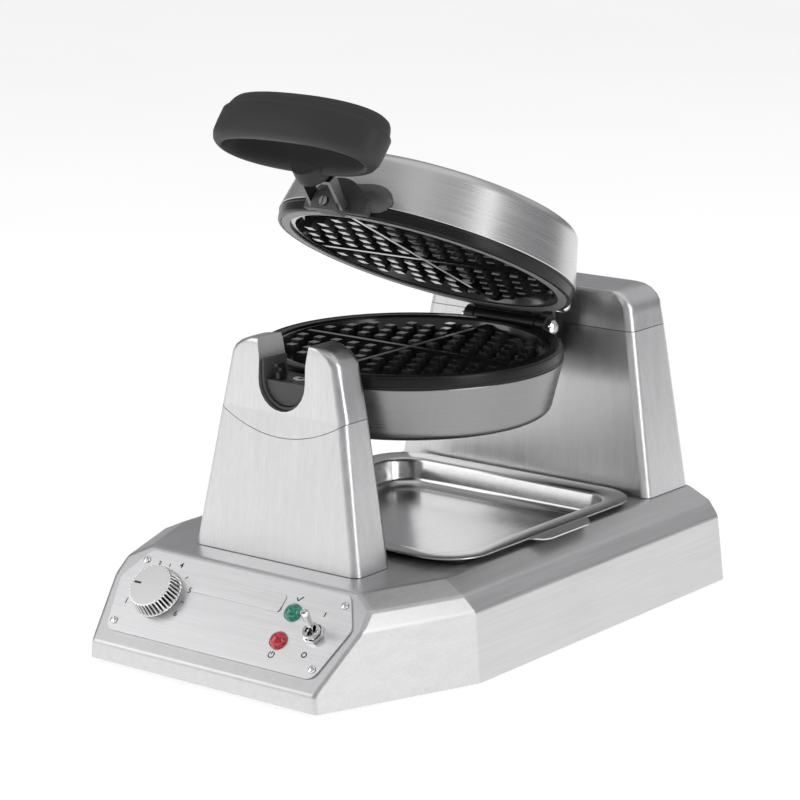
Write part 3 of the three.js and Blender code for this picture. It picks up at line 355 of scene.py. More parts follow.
def spun_steel(name, level, turned_to):
    """turned_to is the matrix that takes the machine's axes to the casing's own."""
    steel = Finish(name, Metallic=1.0)
    at = steel.node("ShaderNodeTexCoord")["Object"]
    own = steel.node("ShaderNodeMapping", {"vector_type": "POINT"}, {
        "Vector": at, "Location": turned_to.to_translation(), "Rotation": turned_to.to_euler(),
    })["Vector"]
    parts = steel.node("ShaderNodeSeparateXYZ", None, {0: own})
    flat = steel.node("ShaderNodeCombineXYZ", None, {0: parts["X"], 1: parts["Y"]})["Vector"]
    radius = steel.node("ShaderNodeVectorMath", {"operation": "LENGTH"}, {0: flat})["Value"]
    around = steel.node("ShaderNodeMath", {"operation": "ARCTAN2"}, {
        0: parts["Y"], 1: parts["X"],
    })["Value"]
    rings = steel.node("ShaderNodeCombineXYZ", None, {
        0: radius, 1: parts["Z"], 2: around * DRIFT_PER_TURN,
    })["Vector"]
    fine = steel.node("ShaderNodeTexNoise", None, {
        "Vector": rings, "Scale": RINGS_PER_METRE, "Detail": 3.0, "Roughness": 0.6,
    })["Fac"]
    cloud = steel.noise(18, 2.0)
    lines = steel.ramp(fine, (0.35, 0.0), (0.65, 1.0))
    steel.set(
        Base_Color=steel.blend(lines, grey(level * 0.93), grey(level)),
        Roughness=lines * 0.09 + cloud * 0.08 + (SPUN_ROUGHNESS - 0.08),
        Normal=steel.bump(lines, 0.06, 0.0001),
    )
    return steel.material


TO_ROTOR = Matrix.Translation((0, -rotor_mid.y, 0))
TO_LID = TO_ROTOR @ AT_LID.inverted()
# painted shade: the lower casing is the same spun steel as the lid, made far darker for its side that
# faces down
rotor_steel_painted_shade = spun_steel("steel_spun_lower_painted_shade", 0.30, TO_ROTOR)
lid_steel = spun_steel("steel_spun_lid", 0.70, TO_LID)
print("spun:", rotor_steel_painted_shade.name, lid_steel.name)

# %% [markdown]
# Polished metal keeps the room sharp: the tray is pressed and buffed, the knob, switch
# and screws are plated. Plating is not perfectly even, so a weak noise stirs the
# roughness, and the tray also has the long faint wipe marks of a cloth.

# %% Polished metals
MOTTLES_PER_METRE = 60
WIPES_PER_METRE = 420


def polished(name, level, roughness, wipes=0.0, tint=(1, 1, 1)):
    metal = Finish(name, Metallic=1.0)
    mottle = metal.noise(MOTTLES_PER_METRE, 3.0)
    wipe = metal.noise(WIPES_PER_METRE, 2.0, (1.0, 0.05, 1.0))
    metal.set(
        Base_Color=metal.blend(mottle, grey(level * 0.96, tint), grey(level, tint)),
        Roughness=mottle * 0.05 + wipe * wipes + roughness,
        Normal=metal.bump(wipe, 0.03 + wipes * 0.2, 0.0001),
    )
    return metal.material


tray_steel = polished("steel_polished_tray", 0.64, 0.12, wipes=0.12)
chrome = polished("chrome_plate", 0.88, 0.06)
satin_chrome = polished("satin_plate", 0.84, 0.22, wipes=0.05)
fork_metal = polished("fork_dark_plate", 0.20, 0.30, wipes=0.05)
zinc = polished("zinc_plate", 0.62, 0.34, wipes=0.05, tint=(1, 0.99, 0.95))
print("polished metals ready")

# %% [markdown]
# The dark parts are not all one black. The rims are coated metal with a satin glint; the
# baking plates have a slick non-stick coat with pin-prick texture; the journal, bracket
# and liner are grey phenolic moulding; the handle is a soft dark plastic with a fine
# spark-eroded grain. One helper takes the numbers that set them apart.

# %% Coated and moulded darks
def coated(name, level, roughness, grain, bump, tint=(1, 1, 1), coat=0.0, specular=0.5, spread=0.12):
    """grain is the number of specks per metre and bump how hard they stand up."""
    dark = Finish(name, Coat_Weight=coat, Coat_Roughness=0.12, Specular_IOR_Level=specular)
    speck = dark.noise(grain, 2.0)
    cloud = dark.noise(22, 2.0)
    even = speck * 0.5 + cloud * 0.5
    dark.set(
        Base_Color=dark.blend(even, grey(level * (1 - spread), tint), grey(level * (1 + spread), tint)),
        Roughness=even * 0.14 + (roughness - 0.07),
        Normal=dark.bump(speck, bump, 0.0002),
    )
    return dark.material


rim_black = coated("rim_coat", 0.012, 0.27, 1600, 0.08, specular=0.28)
bracket_black = coated("bracket_coat", 0.014, 0.36, 1400, 0.12)
nonstick = coated("nonstick_coat", 0.016, 0.17, 2200, 0.10, coat=1.0)
moulding = coated("grey_moulding", 0.07, 0.42, 1800, 0.14)
liner_grey = coated("liner_moulding", 0.085, 0.45, 1800, 0.14)
handle_soft = coated("handle_moulding", 0.048, 0.46, 2400, 0.20, specular=0.18)
# painted reflection: the seal is light grey to stand in for the pale floor mirrored in a dark ring at a
# grazing angle
seal_painted_reflection = coated("seal_ring_painted_reflection", 0.34, 0.5, 1500, 0.12)
foot_rubber = coated("foot_rubber", 0.02, 0.7, 1200, 0.3)
# painted shade: the well under the tray is near black so the gap below the tray's rim and tabs reads as
# shadow
well_painted_shade = coated("well_painted_shade_black", 0.015, 0.4, 1400, 0.12, specular=0.2)
ceramic = coated("terminal_ceramic", 0.72, 0.45, 900, 0.1, tint=(1, 0.98, 0.93))
wool = coated("mineral_wool", 0.55, 0.95, 500, 0.9, tint=(1, 0.93, 0.78), spread=0.3)
element = coated("heater_sheath", 0.10, 0.5, 1200, 0.3, tint=(1, 0.94, 0.88))
dial_face = coated("dial_white", 0.92, 0.36, 1500, 0.05, spread=0.02)
print_black = coated("printed_black", 0.02, 0.5, 2500, 0.05)
print("dark finishes ready")

# %% [markdown]
# A pilot lamp is a clear coloured dome over a small neon. Moulded facets inside the dome
# break the light up. A Voronoi pattern stands for the facets: it shades the colour and
# tilts the surface a little, under a clear glossy coat.

# %% Lamp lenses
FACETS_PER_METRE = 620.0


def lamp_lens(name, deep, bright, glow):
    lens_finish = Finish(name, Coat_Weight=1.0, Coat_Roughness=0.03, Emission_Strength=glow)
    facets = lens_finish.node("ShaderNodeTexVoronoi", None, {
        "Vector": lens_finish.place(), "Scale": FACETS_PER_METRE,
    })["Distance"]
    colour = lens_finish.blend(lens_finish.ramp(facets, (0.1, 0.0), (0.75, 1.0)), deep, bright)
    lens_finish.set(
        Base_Color=colour, Emission_Color=colour,
        Roughness=facets * 0.1 + 0.12,
        Normal=lens_finish.bump(facets, 0.25, 0.0003),
    )
    return lens_finish.material


green_lens = lamp_lens("lens_green", (0.0, 0.09, 0.055, 1), (0.005, 0.27, 0.17, 1), 0.12)
red_lens = lamp_lens("lens_red", (0.20, 0.0, 0.005, 1), (0.58, 0.012, 0.03, 1), 0.15)
print("lamp lenses ready")

# %% [markdown]
# The floor is one pale sheet, wide enough that its edge is never seen. It is lit from
# within a little, as a light table is, so it stays white right up to the backdrop and
# keeps only the soft dark line where the machine stands.

# %% The floor
FLOOR_HALF_WIDTH = 6
floor_finish = Finish("studio_floor", Roughness=0.6, Emission_Strength=0.68)
mottle = floor_finish.noise(3, 2.0)
floor_colour = floor_finish.blend(mottle, grey(0.84), grey(0.87))
floor_finish.set(Base_Color=floor_colour, Emission_Color=floor_colour)
sheet = bmesh.new()
bmesh.ops.create_grid(sheet, x_segments=8, y_segments=8, size=FLOOR_HALF_WIDTH)
floor_mesh = bpy.data.meshes.new("studio_floor")
sheet.to_mesh(floor_mesh)
sheet.free()
floor_mesh.materials.append(floor_finish.material)
floor = bpy.data.objects.new("studio_floor", floor_mesh)
bpy.context.scene.collection.objects.link(floor)
print("floor laid,", 2 * FLOOR_HALF_WIDTH, "m wide")

# %% [markdown]
# The frame's meshes come in as loose triangles with hard edges. Real sheet and castings
# have small round edges that catch the light. A piece that only needs that keeps its
# frame mesh and gets modifiers: Weld joins the triangles, Decimate merges flat ones,
# Bevel rounds the edges and Weighted Normal keeps the flats flat. Pieces that need more
# are made anew in later cells.

# %% Dress a frame node
BODY_OF = {n: b for b, ns in frame["record"]["behaviour"]["bodies"].items() for n in ns}


def keep_flats_flat(piece):
    normals = piece.modifiers.new("shading", "WEIGHTED_NORMAL")
    normals.keep_sharp = True


MERGE = 1e-6
FLAT_WITHIN = math.radians(0.4)
EDGE_SHARPER_THAN = math.radians(28)


def dress(node, material, edge):
    """Gives a frame node its finish and rounds its edges by edge millimetres."""
    piece = frame["nodes"][node]
    mesh = piece.data
    if "custom_normal" in mesh.attributes:
        mesh.attributes.remove(mesh.attributes["custom_normal"])
    mesh.shade_smooth()
    mesh.materials.clear()
    mesh.materials.append(material)
    weld = piece.modifiers.new("join", "WELD")
    weld.merge_threshold = MERGE
    flat = piece.modifiers.new("flats", "DECIMATE")
    flat.decimate_type = "DISSOLVE"
    flat.angle_limit = FLAT_WITHIN
    if edge:
        bevel = piece.modifiers.new("edges", "BEVEL")
        bevel.width = edge * MM
        bevel.segments = 2
        bevel.limit_method = "ANGLE"
        bevel.angle_limit = EDGE_SHARPER_THAN
    keep_flats_flat(piece)


# %% The small pieces
DRESSED = {
    "control_panel": (panel_steel, 0.25), "badge_plate": (panel_steel, 0.18),
    "base_pan": (zinc, 0.3), "tray_well": (well_painted_shade, 0.3),
    "foot_front_left": (foot_rubber, 0.4), "foot_front_right": (foot_rubber, 0.4),
    "foot_rear_left": (foot_rubber, 0.4), "foot_rear_right": (foot_rubber, 0.4),
    "panel_screw_lower_left": (chrome, 0.12), "panel_screw_lower_right": (chrome, 0.12),
    "panel_screw_upper_left": (chrome, 0.12), "panel_screw_upper_right": (chrome, 0.12),
    "thermostat": (zinc, 0.3), "switch_nut": (chrome, 0.3), "switch_body": (chrome, 0.25),
    "front_bearing_liner": (liner_grey, 0.3), "front_post_frame": (zinc, 0.3),
    "rear_bearing": (moulding, 0.4), "rear_post_frame": (zinc, 0.3),
    "cord_gland": (foot_rubber, 0.4), "terminal_block": (ceramic, 0.3),
    "lower_grid_plate": (nonstick, 0.5), "lid_grid_plate": (nonstick, 0.5),
    "lower_heater": (element, 0.0), "lid_heater": (element, 0.0),
    "lower_insulation": (wool, 0.5), "lid_insulation": (wool, 0.5),
    "front_journal": (moulding, 0.4), "journal_washer": (chrome, 0.15),
    "latch_hook": (bracket_black, 0.3), "lower_hinge_bracket": (bracket_black, 0.5),
    "hinge_pin": (chrome, 0.2), "rotor_shaft": (satin_chrome, 0.3), "shaft_retainer": (zinc, 0.3),
    "lid_seal_ring": (seal_painted_reflection, 0.2), "lid_hinge_arm": (bracket_black, 0.5),
    "lid_stop_stud_right": (chrome, 0.3), "lid_stop_stud_left": (chrome, 0.3),
    "lid_front_bracket": (moulding, 0.6), "tongue_screw": (fork_metal, 0.15),
    "fold_pin": (fork_metal, 0.2), "handle_fork": (fork_metal, 0.35), "switch_lever": (chrome, 0.15),
}
for node, (material, edge) in DRESSED.items():
    dress(node, material, edge)
print("dressed", len(DRESSED), "frame nodes")

# %% [markdown]
# The large sheet pieces need more care than one bevel width gives: the bends of the base
# are folded to a radius of a couple of millimetres, while the cut edges of its holes are
# nearly sharp. So these are rebuilt as new meshes from the frame's own: merge the
# points, join the flat faces, round the folds by their own amount, and hide the node that
# the new piece stands in for. The posts' edges are already round, and are only joined and shaded.

# %% Rework a sheet piece
def settle(name, mesh, node, material):
    """Puts a finished mesh on the machine in place of a frame node."""
    piece = bpy.data.objects.new(name, mesh)
    bpy.context.scene.collection.objects.link(piece)
    mesh.materials.clear()
    mesh.materials.append(material)
    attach(piece, BODY_OF[node])
    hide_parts(node)
    return piece


def mesh_from(bm, name, sharp=32):
    bmesh.ops.recalc_face_normals(bm, faces=bm.faces)
    for face in bm.faces:
        face.smooth = True
    mesh = bpy.data.meshes.new(name)
    bm.to_mesh(mesh)
    bm.free()
    mesh.set_sharp_from_angle(angle=math.radians(sharp))
    return mesh


def bend(bm, test, radius, segments=3):
    edges = [e for e in bm.edges if e.is_manifold and test(e, math.degrees(e.calc_face_angle(0)))]
    bmesh.ops.bevel(
        bm, geom=edges, offset=radius * MM, offset_type="OFFSET", segments=segments,
        profile=0.5, affect="EDGES", clamp_overlap=False,
    )
    return len(edges)


def rework(node, name, material, *bends):
    """bends are (test of edge and angle, radius in mm); the new piece takes the frame node's place."""
    bm = bmesh.new()
    bm.from_mesh(frame["nodes"][node].data)
    bmesh.ops.remove_doubles(bm, verts=bm.verts, dist=MERGE)
    bmesh.ops.dissolve_limit(bm, angle_limit=math.radians(0.5), verts=bm.verts, edges=bm.edges)
    done = [bend(bm, test, radius) for test, radius in bends]
    print(name, "rounded edges:", done)
    keep_flats_flat(settle(name, mesh_from(bm, name), node, material))


print("sheet pieces can be reworked")

# %% The base and the posts
FOLD_RADIUS = 1.8
FOLD_HEIGHTS = (11, 43.7, 53.5, 61)
SHALLOWEST_FOLD, STEEPEST_FOLD = 12, 75


def level_at(*heights):
    """A test for folds that lie at one of these heights, in mm above the base's rim."""
    def test(edge, angle):
        z = [(v.co.z - base_low.z) / MM for v in edge.verts]
        level = any(max(abs(a - h) for a in z) < 0.05 for h in heights)
        return level and SHALLOWEST_FOLD < angle < STEEPEST_FOLD
    return test


rework("base_shell", "base_body", base_steel, (level_at(*FOLD_HEIGHTS), FOLD_RADIUS))
for post in ("front_post", "rear_post"):
    rework(post + "_cover", post + "_lower", post_steel)
    rework(post + "_cap", post + "_upper", post_steel)

# %% [markdown]
# Round pieces are turned from a profile: a list of (radius, height) pairs in millimetres,
# swept round in many small steps so that the rim reads as a true circle even close up.

# %% Turn a profile
def turned(profile, place, steps=144):
    """A closed body of revolution; the profile starts and ends on the axis, or closes."""
    bm = bmesh.new()
    rings = []
    for radius, z in profile:
        if radius == 0:
            rings.append([bm.verts.new((0, 0, z * MM))])
            continue
        rings.append([bm.verts.new((
            radius * MM * math.cos(2 * math.pi * i / steps),
            radius * MM * math.sin(2 * math.pi * i / steps), z * MM,
        )) for i in range(steps)])
    closed = len(rings[0]) > 1
    pairs = list(zip(rings, rings[1:] + (rings[:1] if closed else [])))
    for a, b in pairs:
        for i in range(steps):
            j = (i + 1) % steps
            if len(a) == 1 and len(b) == 1:
                continue
            if len(a) == 1:
                bm.faces.new((a[0], b[i], b[j]))
            elif len(b) == 1:
                bm.faces.new((a[i], a[j], b[0]))
            else:
                bm.faces.new((a[i], a[j], b[j], b[i]))
    bmesh.ops.transform(bm, matrix=place, verts=bm.verts)
    return bm


def arc(centre, radius, start, end, steps=6):
    """Points of a round corner, angles in degrees."""
    return [(
        centre[0] + radius * math.cos(math.radians(start + (end - start) * i / steps)),
        centre[1] + radius * math.sin(math.radians(start + (end - start) * i / steps)),
    ) for i in range(steps + 1)]


print("profiles can be turned")

# %% The two casings
CASING_RADIUS = 98
SHEET = 1.6
WIDENING = 7
BEND_AT, BEND_RADIUS = 7.6, 7.2
RIM_HEIGHT = 8.4
GAP = 0.35
SEAM = 0.3
LID_HEIGHT = 45.4


def bowl(height):
    """The spun casing: a nearly flat end, a round corner and a wall that widens."""
    slope = WIDENING / (height - 6)
    wall = CASING_RADIUS - slope * (height - BEND_AT)
    corner = arc((wall - BEND_RADIUS - 0.2, BEND_AT), BEND_RADIUS, -88, -4)
    outside = [(0, 0.1), (60, 0.15), (80, 0.3)] + corner + [
        (CASING_RADIUS - 0.1, height - 0.5), (CASING_RADIUS - 0.3, height),
    ]
    inside = [(CASING_RADIUS - SHEET, height), (wall - SHEET, 8.4), (wall - 4, 4), (80, 2.1), (0, 1.9)]
    return outside + inside


lower_low, lower_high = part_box("lower_casing")
lower_height = (lower_high.z - lower_low.z) / MM
lower_place = Matrix.Translation((0, rotor_mid.y, lower_low.z))
settle("casing_lower", mesh_from(turned(bowl(lower_height), lower_place), "casing_lower"),
       "lower_casing", rotor_steel_painted_shade)

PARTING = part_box("lower_rim")[1].z + SEAM * MM
lid_top = PARTING + (SEAM + LID_HEIGHT) * MM
lid_place = (AT_LID @ Matrix.Translation((0, rotor_mid.y, lid_top))
             @ Matrix.Rotation(math.pi, 4, "X"))
settle("casing_lid", mesh_from(turned(bowl(LID_HEIGHT - RIM_HEIGHT - GAP), lid_place), "casing_lid"),
       "lid_casing", lid_steel)
print("casings turned; parting plane at", round(PARTING, 4))

# %% [markdown]
# A black coated ring closes each casing and holds its baking plate. Its outer edge has a
# small step, then a rounded lip that stands proud of the parting line, and its inner edge
# is cut back for the plate. One profile serves both: the lower ring is turned upside
# down, and the lid's ring has a deeper cut that takes the seal, whose grey is a painted reflection of
# the pale floor.

# %% Rims
PLATE_RADIUS = 88.4
LIP_RADIUS = CASING_RADIUS - 3.2
LOWER_REBATE, LID_REBATE = 0.6, 1.8


def rim(rebate):
    """Black ring round a plate; its face is at height 0 and its body above."""
    inner = PLATE_RADIUS + GAP
    return [
        (inner, RIM_HEIGHT), (CASING_RADIUS - 0.3, RIM_HEIGHT),
        (CASING_RADIUS, RIM_HEIGHT - 0.4), (CASING_RADIUS, RIM_HEIGHT - 1.2),
        (CASING_RADIUS - 0.5, RIM_HEIGHT - 1.6), (CASING_RADIUS - 0.9, 2.2),
        (CASING_RADIUS - 1.1, 1.2), (CASING_RADIUS - 1.6, 0.6), (CASING_RADIUS - 2.4, 0.3),
        (LIP_RADIUS, 0.3), (LIP_RADIUS, rebate), (inner + 0.5, rebate), (inner, rebate + 0.5),
    ]


rim_down = Matrix.Translation((0, rotor_mid.y, PARTING)) @ Matrix.Rotation(math.pi, 4, "X")
settle("rim_lower", mesh_from(turned(rim(LOWER_REBATE), rim_down), "rim_lower"), "lower_rim", rim_black)
rim_up = AT_LID @ Matrix.Translation((0, rotor_mid.y, PARTING + SEAM * MM))
settle("rim_lid", mesh_from(turned(rim(LID_REBATE), rim_up), "rim_lid"), "lid_rim", rim_black)
print("rims turned,", 2 * CASING_RADIUS, "mm across")

# %% [markdown]
# The drip tray is pressed from thin sheet: a wide flat rim with a rolled edge, a short
# steep wall and a floor that meets it in a soft curve. It is lofted through rounded
# rectangles of one corner count, so the long sides stay dead straight and the corners
# get plenty of small steps for smooth reflections.

# %% Rounded rectangles and lofts
def rounded_rectangle(half_x, half_y, radius, steps=14):
    points = []
    for corner, (sx, sy) in enumerate(((1, 1), (-1, 1), (-1, -1), (1, -1))):
        for i in range(steps + 1):
            a = math.radians(90 * corner + 90 * i / steps)
            points.append((
                sx * (half_x - radius) + radius * math.cos(a),
                sy * (half_y - radius) + radius * math.sin(a),
            ))
    return points


def loft(sections, place, cap=True):
    """Skins a list of sections, each a list of (x, y, z) in mm with one point count."""
    bm = bmesh.new()
    rings = [[bm.verts.new(Vector(p) * MM) for p in section] for section in sections]
    count = len(rings[0])
    pairs = list(zip(rings, rings[1:]))
    if not cap:
        pairs.append((rings[-1], rings[0]))
    for a, b in pairs:
        for i in range(count):
            j = (i + 1) % count
            bm.faces.new((a[i], a[j], b[j], b[i]))
    if cap:
        bm.faces.new(rings[0][::-1])
        bm.faces.new(rings[-1])
    bmesh.ops.transform(bm, matrix=place, verts=bm.verts)
    return bm


print("sections can be lofted")

# %% Tray pressing
TRAY_HALF_X = 103
TRAY_SHEET = 1.2
TRAY_CORNER, TIGHTEST_CORNER = 30, 8
tray_low, tray_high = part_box("drip_tray")
tray_mid_y = (tray_low.y + tray_high.y) / 2
tray_half_y = (tray_high.y - tray_low.y) / 2 / MM
rim_z = tray_high.z / MM
floor_z = tray_low.z / MM
under = rim_z - TRAY_SHEET
wall_curve = arc((0, 0), 1, -90, 0, 7)
# (inset from the tray's outer edge, height), up the outside and down the inside
profile = [(60, floor_z), (26, floor_z)]
profile += [(26 - 11 * c, floor_z + 6 * (1 + s)) for c, s in wall_curve]
profile += [(14.0, under - 0.4), (13.1, under), (0.9, under)]
profile += [(0.6 - 0.6 * c, (under + rim_z) / 2 + 0.6 * s) for c, s in arc((0, 0), 1, -90, 90, 6)]
profile += [(12.2, rim_z), (13.3, rim_z - 0.3), (14.3, rim_z - 1.2), (15.0, under - 1.6)]
profile += [(27 - 10.6 * c, floor_z + TRAY_SHEET + 5.6 * (1 + s)) for c, s in reversed(wall_curve)]
profile += [(28, floor_z + TRAY_SHEET), (60, floor_z + TRAY_SHEET)]
sections = []
for inset, z in profile:
    corner = max(TRAY_CORNER - inset * 0.6, TIGHTEST_CORNER)
    outline = rounded_rectangle(TRAY_HALF_X - inset, tray_half_y - inset, corner)
    sections.append([(x, y, z) for x, y in outline])
tray_bm = loft(sections, Matrix.Translation((0, tray_mid_y, 0)))
print("tray", [round(v / MM) for v in (tray_high - tray_low)], "mm")

# %% Tray tabs
TAB_OUT = 10.5
TAB_INSIDE_RIM = 0.15
# (outward from the rim's edge, along the tray) round one finger tab
TAB = [
    (-4, -29), (-1, -29), (TAB_OUT - 2, -24), (TAB_OUT, -19),
    (TAB_OUT, 21), (TAB_OUT - 2, 26), (-1, 35), (-4, 35),
]
for side in (1, -1):
    rings = []
    for z in (under + TAB_INSIDE_RIM, rim_z - TAB_INSIDE_RIM):
        rings.append([tray_bm.verts.new((
            side * (TRAY_HALF_X + out) * MM, along * MM + tray_mid_y, z * MM,
        )) for out, along in TAB])
        tray_bm.faces.new(rings[-1])
    for i in range(len(TAB)):
        j = (i + 1) % len(TAB)
        tray_bm.faces.new((rings[0][i], rings[0][j], rings[1][j], rings[1][i]))
tray_mesh = mesh_from(tray_bm, "tray_pressing", sharp=50)
settle("tray_pressing", tray_mesh, "drip_tray", tray_steel)
print("two tabs,", TAB_OUT, "mm out")

# %% [markdown]
# The handle is a soft loop. One slice across it is a closed curve that leans outward
# towards the top, with a faint ridge where the mould halves met. Each point of that slice
# is swept round a squared-off oval, so the whole grip is one skin without seams. A short
# round neck joins it to the metal fork.

# %% The slice of the grip
GRIP_REACH = 52.4
GRIP_HALF_WIDTH = 63
GRIP_HALF_DEPTH = 26
GRIP_SWING = math.radians(3)
GRIP_LEAN = math.radians(18)
SQUARENESS = 2 / 2.25
NEAR_SIDE_EXTRA = 0.25
# (inset of the outer skin, thickness in from it, height) round one slice
SLICE = [
    (6.5, 0, -16), (4.2, 0, -15.2), (2.6, 0, -13.8), (0.9, 0, -10), (0.5, 0, -4), (0.5, 0, 2),
    (0.5, 0, 5.6), (0.9, 0, 6.3), (2.0, 0, 7.3), (2.4, 0, 8.2), (2.9, 0, 10.4), (4.0, 0, 13.2),
    (5.2, 0, 15), (6.8, 0, 15.9),
    (0, 7.4, 15.9), (0, 8.8, 15), (0, 9.8, 12.6), (0, 10.4, 8), (0, 10.5, 0), (0, 10.4, -8),
    (0, 9.8, -12.4), (0, 9.0, -14.8), (0, 8, -15.9),
]


def grip_ring(inset, thick, height, steps=132):
    """One ring of the loop; its band is thicker on the side of the fork."""
    points = []
    for i in range(steps):
        a = 2 * math.pi * (i + 0.5) / steps
        c, s = math.cos(a), math.sin(a)
        thicker = 1 - NEAR_SIDE_EXTRA * s if s < 0 else 1
        back = inset + thick * thicker
        points.append((
            (GRIP_HALF_WIDTH - back) * math.copysign(abs(c) ** SQUARENESS, c),
            (GRIP_HALF_DEPTH - back) * math.copysign(abs(s) ** SQUARENESS, s), height,
        ))
    return points


print("the slice has", len(SLICE), "points")

# %% Grip and neck
# (radius, distance from the fold pin) along the neck
NECK = [
    (0, -33.5), (11.9, -33.5), (11.9, -28.5), (11.7, -25.4), (11.2, -23.4), (10.2, -22.4), (0, -22.3),
]
NECK_BELOW_PIN = 1.3
grip_at = Vector((0, fold.y - GRIP_REACH * MM * math.cos(GRIP_SWING),
                  fold.z + GRIP_REACH * MM * math.sin(GRIP_SWING)))
grip_place = AT_HANDLE @ Matrix.Translation(grip_at) @ Matrix.Rotation(GRIP_LEAN, 4, "X")
grip_bm = loft([grip_ring(*point) for point in SLICE], grip_place, cap=False)
neck_place = (AT_HANDLE @ Matrix.Translation(fold + Vector((0, 0, -NECK_BELOW_PIN * MM)))
              @ Matrix.Rotation(math.radians(-90), 4, "X"))
neck_mesh = bpy.data.meshes.new("neck")
neck_bm = turned(NECK, neck_place, 64)
neck_bm.to_mesh(neck_mesh)
neck_bm.free()
grip_bm.from_mesh(neck_mesh)
settle("grip_loop", mesh_from(grip_bm, "grip_loop", sharp=48), "handle_grip", handle_soft)
print("grip centre", [round(v, 4) for v in grip_place.to_translation()])

# %% [markdown]
# The knob is a plated skirt with fine flutes and a pale cap. Its flutes are a cosine taken
# from the radius of each section, with enough points for every flute to read as a round
# groove. How deep each point lies is kept as an attribute, and the finish reads it to
# paint shade into the grooves. The two pilot lamps are small turned domes with a stepped collar.

# %% Knob skirt
KNOB_X, KNOB_UP = -57, 39.5
KNOB_FOOT = 16.9
FLUTES = 38
FLUTE_DEPTH = 1.3
# (radius, depth of the flutes, height above the panel) up the skirt
KNOB = [
    (16.4, 0, 1.8), (KNOB_FOOT, 0.2, 2.1), (KNOB_FOOT, 1.0, 2.9), (16.4, FLUTE_DEPTH, 5),
    (15.3, FLUTE_DEPTH, 9.6), (15.0, 1.1, 10.8), (14.7, 0.4, 11.6), (14.3, 0, 12.0), (13.9, 0, 12.0),
    (13.7, 0, 11.7),
]


def fluted(radius, depth, height, points=8):
    ring = []
    for i in range(FLUTES * points):
        a = 2 * math.pi * i / (FLUTES * points)
        r = radius - depth * (0.5 - 0.5 * math.cos(FLUTES * a))
        ring.append((r * math.cos(a), r * math.sin(a), height))
    return ring


at_knob = AT_PANEL @ Matrix.Translation((KNOB_X * MM, KNOB_UP * MM, 0))
knob_bm = loft([fluted(*section) for section in KNOB], at_knob)
knob_mesh = mesh_from(knob_bm, "knob_skirt", sharp=50)
print("knob skirt with", FLUTES, "flutes")

# %% Painted shade in the grooves between the flutes
KNOB_TAPER = 0.24
TAPER_FROM = 2.9
FLUTES_FROM, FLUTES_TO = 2.5, 11.4
groove = knob_mesh.attributes.new("groove", "FLOAT", "POINT")
to_knob = at_knob.inverted()
for vertex, depth in zip(knob_mesh.vertices, groove.data):
    own = to_knob @ vertex.co / MM
    crest = KNOB_FOOT - (own.z - TAPER_FROM) * KNOB_TAPER
    depth.value = (crest - math.hypot(own.x, own.y)) / FLUTE_DEPTH * (FLUTES_FROM < own.z < FLUTES_TO)
# painted shade: the plated skirt goes from bright metal to near black the deeper a point lies in its
# groove
fluting = Finish("knob_fluting", Metallic=1.0, Roughness=0.16)
groove_shade = fluting.node("ShaderNodeAttribute", {"attribute_name": "groove"})["Fac"]
fluting.set(Base_Color=fluting.blend(
    fluting.ramp(groove_shade, (0.25, 0.0), (0.75, 1.0)), grey(0.88), grey(0.035)))
settle("knob_skirt", knob_mesh, "thermostat_knob", fluting.material)
print("grooves written on", len(knob_mesh.vertices), "points")

# %% Knob cap and lamps
LAMP_X, READY_UP, POWER_UP = 46, 48, 28.5
CAP = [(0, 11.4), (13.8, 11.4), (13.8, 12.0), (13.6, 12.2), (13.2, 12.3), (0, 12.3)]
settle("knob_face", mesh_from(turned(CAP, at_knob, 96), "knob_face"), "knob_cap", dial_face)
dress("knob_pointer", print_black, 0.1)
LAMP = [
    (0, -12), (3.6, -12), (3.6, 1.6), (5.9, 1.6), (6.0, 1.9), (5.9, 2.4), (5.4, 2.6), (5.0, 2.8),
    (4.8, 3.5), (4.2, 4.5), (3.2, 5.2), (2.0, 5.7), (1.0, 5.85), (0, 5.9),
]
for node, up, finish in (("ready_lamp", READY_UP, green_lens), ("power_lamp", POWER_UP, red_lens)):
    at_lamp = AT_PANEL @ Matrix.Translation((LAMP_X * MM, up * MM, 0))
    settle(node + "_dome", mesh_from(turned(LAMP, at_lamp, 48), node + "_dome"), node, finish)
print("knob cap and two lamps turned")

# %% [markdown]
# The panel is printed: numbers and ticks round the dial, and plain symbols beside the
# lamps and the switch. Each mark is a real piece a few hundredths of a millimetre thick
# lying on the plate. Numbers are text turned into meshes, and everything else is drawn
# from short flat bars.

# %% Ink on the panel
PLATE_FACE = 1.3
INK = 0.06
DIAL_RADIUS = 22.6
marks = bmesh.new()


def place_mark(x, up, angle=0.0):
    return (AT_PANEL @ Matrix.Translation((x * MM, up * MM, (PLATE_FACE + INK / 2) * MM))
            @ Matrix.Rotation(angle, 4, "Z"))


def bar(x, up, length, width, angle=0.0):
    """A printed bar, length along its own X before it is turned by angle."""
    size = Matrix.Diagonal((length * MM, width * MM, INK * MM, 1))
    bmesh.ops.create_cube(marks, size=1, matrix=place_mark(x, up, angle) @ size)


def circle(x, up, radius, width, start=0, end=360, steps=24):
    for i in range(steps):
        a = math.radians(start + (end - start) * (i + 0.5) / steps)
        length = radius * math.radians((end - start) / steps) * 1.06
        bar(x + radius * math.cos(a), up + radius * math.sin(a), length, width, a + math.pi / 2)


print("bars and circles can be printed", INK, "mm thick")

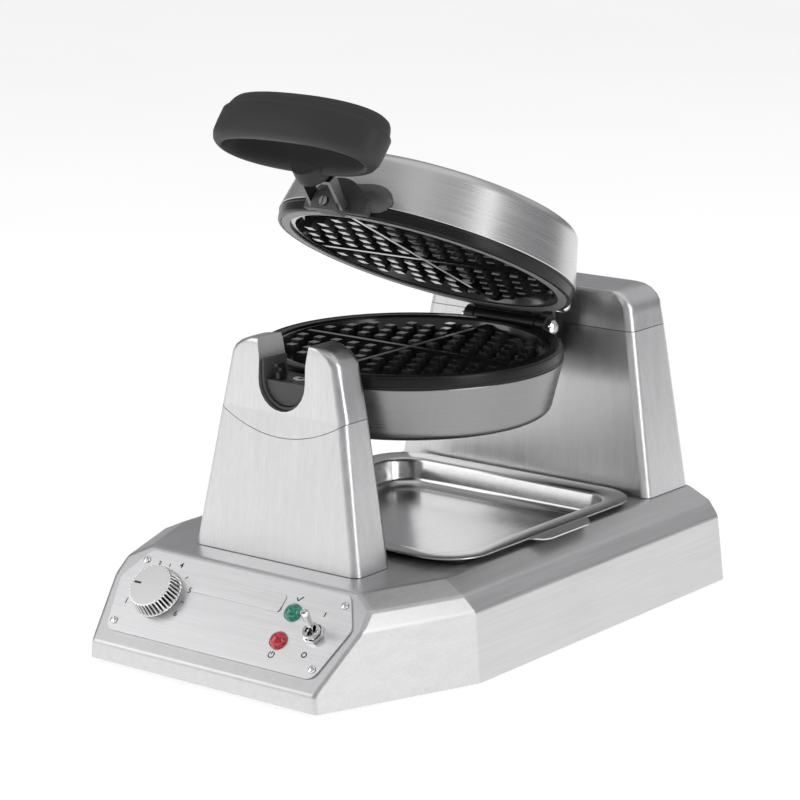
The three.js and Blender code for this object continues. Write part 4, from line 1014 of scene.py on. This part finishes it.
# %% Ticks and symbols
TICK_ANGLES = [184, 142, 98, 46, -4]
TICK_RADIUS = DIAL_RADIUS - 2
SWITCH_X, SWITCH_UP = 68.5, 37.6
for degrees in TICK_ANGLES:
    a = math.radians(degrees)
    bar(KNOB_X + TICK_RADIUS * math.cos(a), KNOB_UP + TICK_RADIUS * math.sin(a), 2.4, 0.65, a)
# ready lamp: a tick; power lamp: a broken ring with a bar; switch: a bar and a ring
bar(LAMP_X - 1.9, READY_UP + 9.3, 2.4, 0.8, math.radians(-50))
bar(LAMP_X + 0.4, READY_UP + 9.9, 4.4, 0.8, math.radians(52))
circle(LAMP_X, POWER_UP - 9.6, 2.0, 0.7, 120, 420)
bar(LAMP_X, POWER_UP - 8.2, 2.4, 0.7, math.pi / 2)
bar(SWITCH_X, SWITCH_UP + 14, 3.2, 0.8, math.pi / 2)
circle(SWITCH_X, SWITCH_UP - 14, 1.6, 0.75)
print("marks drawn from", len(marks.faces) // 6, "bars")

# %% Dial numbers
NUMBER_ANGLES = {"1": 204, "2": 162, "3": 120, "4": 75, "5": 18, "6": -26}
NUMBER_SIZE = 5.4
NUMBER_WEIGHT = 0.08
numbers = bmesh.new()
for digit, degrees in NUMBER_ANGLES.items():
    text = bpy.data.curves.new("number_" + digit, "FONT")
    text.body = digit
    text.size = NUMBER_SIZE * MM
    text.offset = NUMBER_WEIGHT * MM
    text.align_x = "CENTER"
    text.align_y = "CENTER"
    text.extrude = INK / 2 * MM
    written = bpy.data.objects.new("number_" + digit, text)
    bpy.context.scene.collection.objects.link(written)
    bpy.context.view_layer.update()
    flat = bpy.data.meshes.new_from_object(written)
    a = math.radians(degrees)
    flat.transform(place_mark(KNOB_X + DIAL_RADIUS * math.cos(a), KNOB_UP + DIAL_RADIUS * math.sin(a)))
    numbers.from_mesh(flat)
    bpy.data.objects.remove(written)
    bpy.data.meshes.remove(flat)
print(len(NUMBER_ANGLES), "numbers written")

# %% Lay the print on the panel
def printed(name, bm):
    mesh = bpy.data.meshes.new(name)
    bm.to_mesh(mesh)
    bm.free()
    mesh.materials.append(print_black)
    piece = bpy.data.objects.new(name, mesh)
    bpy.context.scene.collection.objects.link(piece)
    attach(piece, "base")


printed("panel_marks", marks)
printed("dial_numbers", numbers)
print("panel printed")
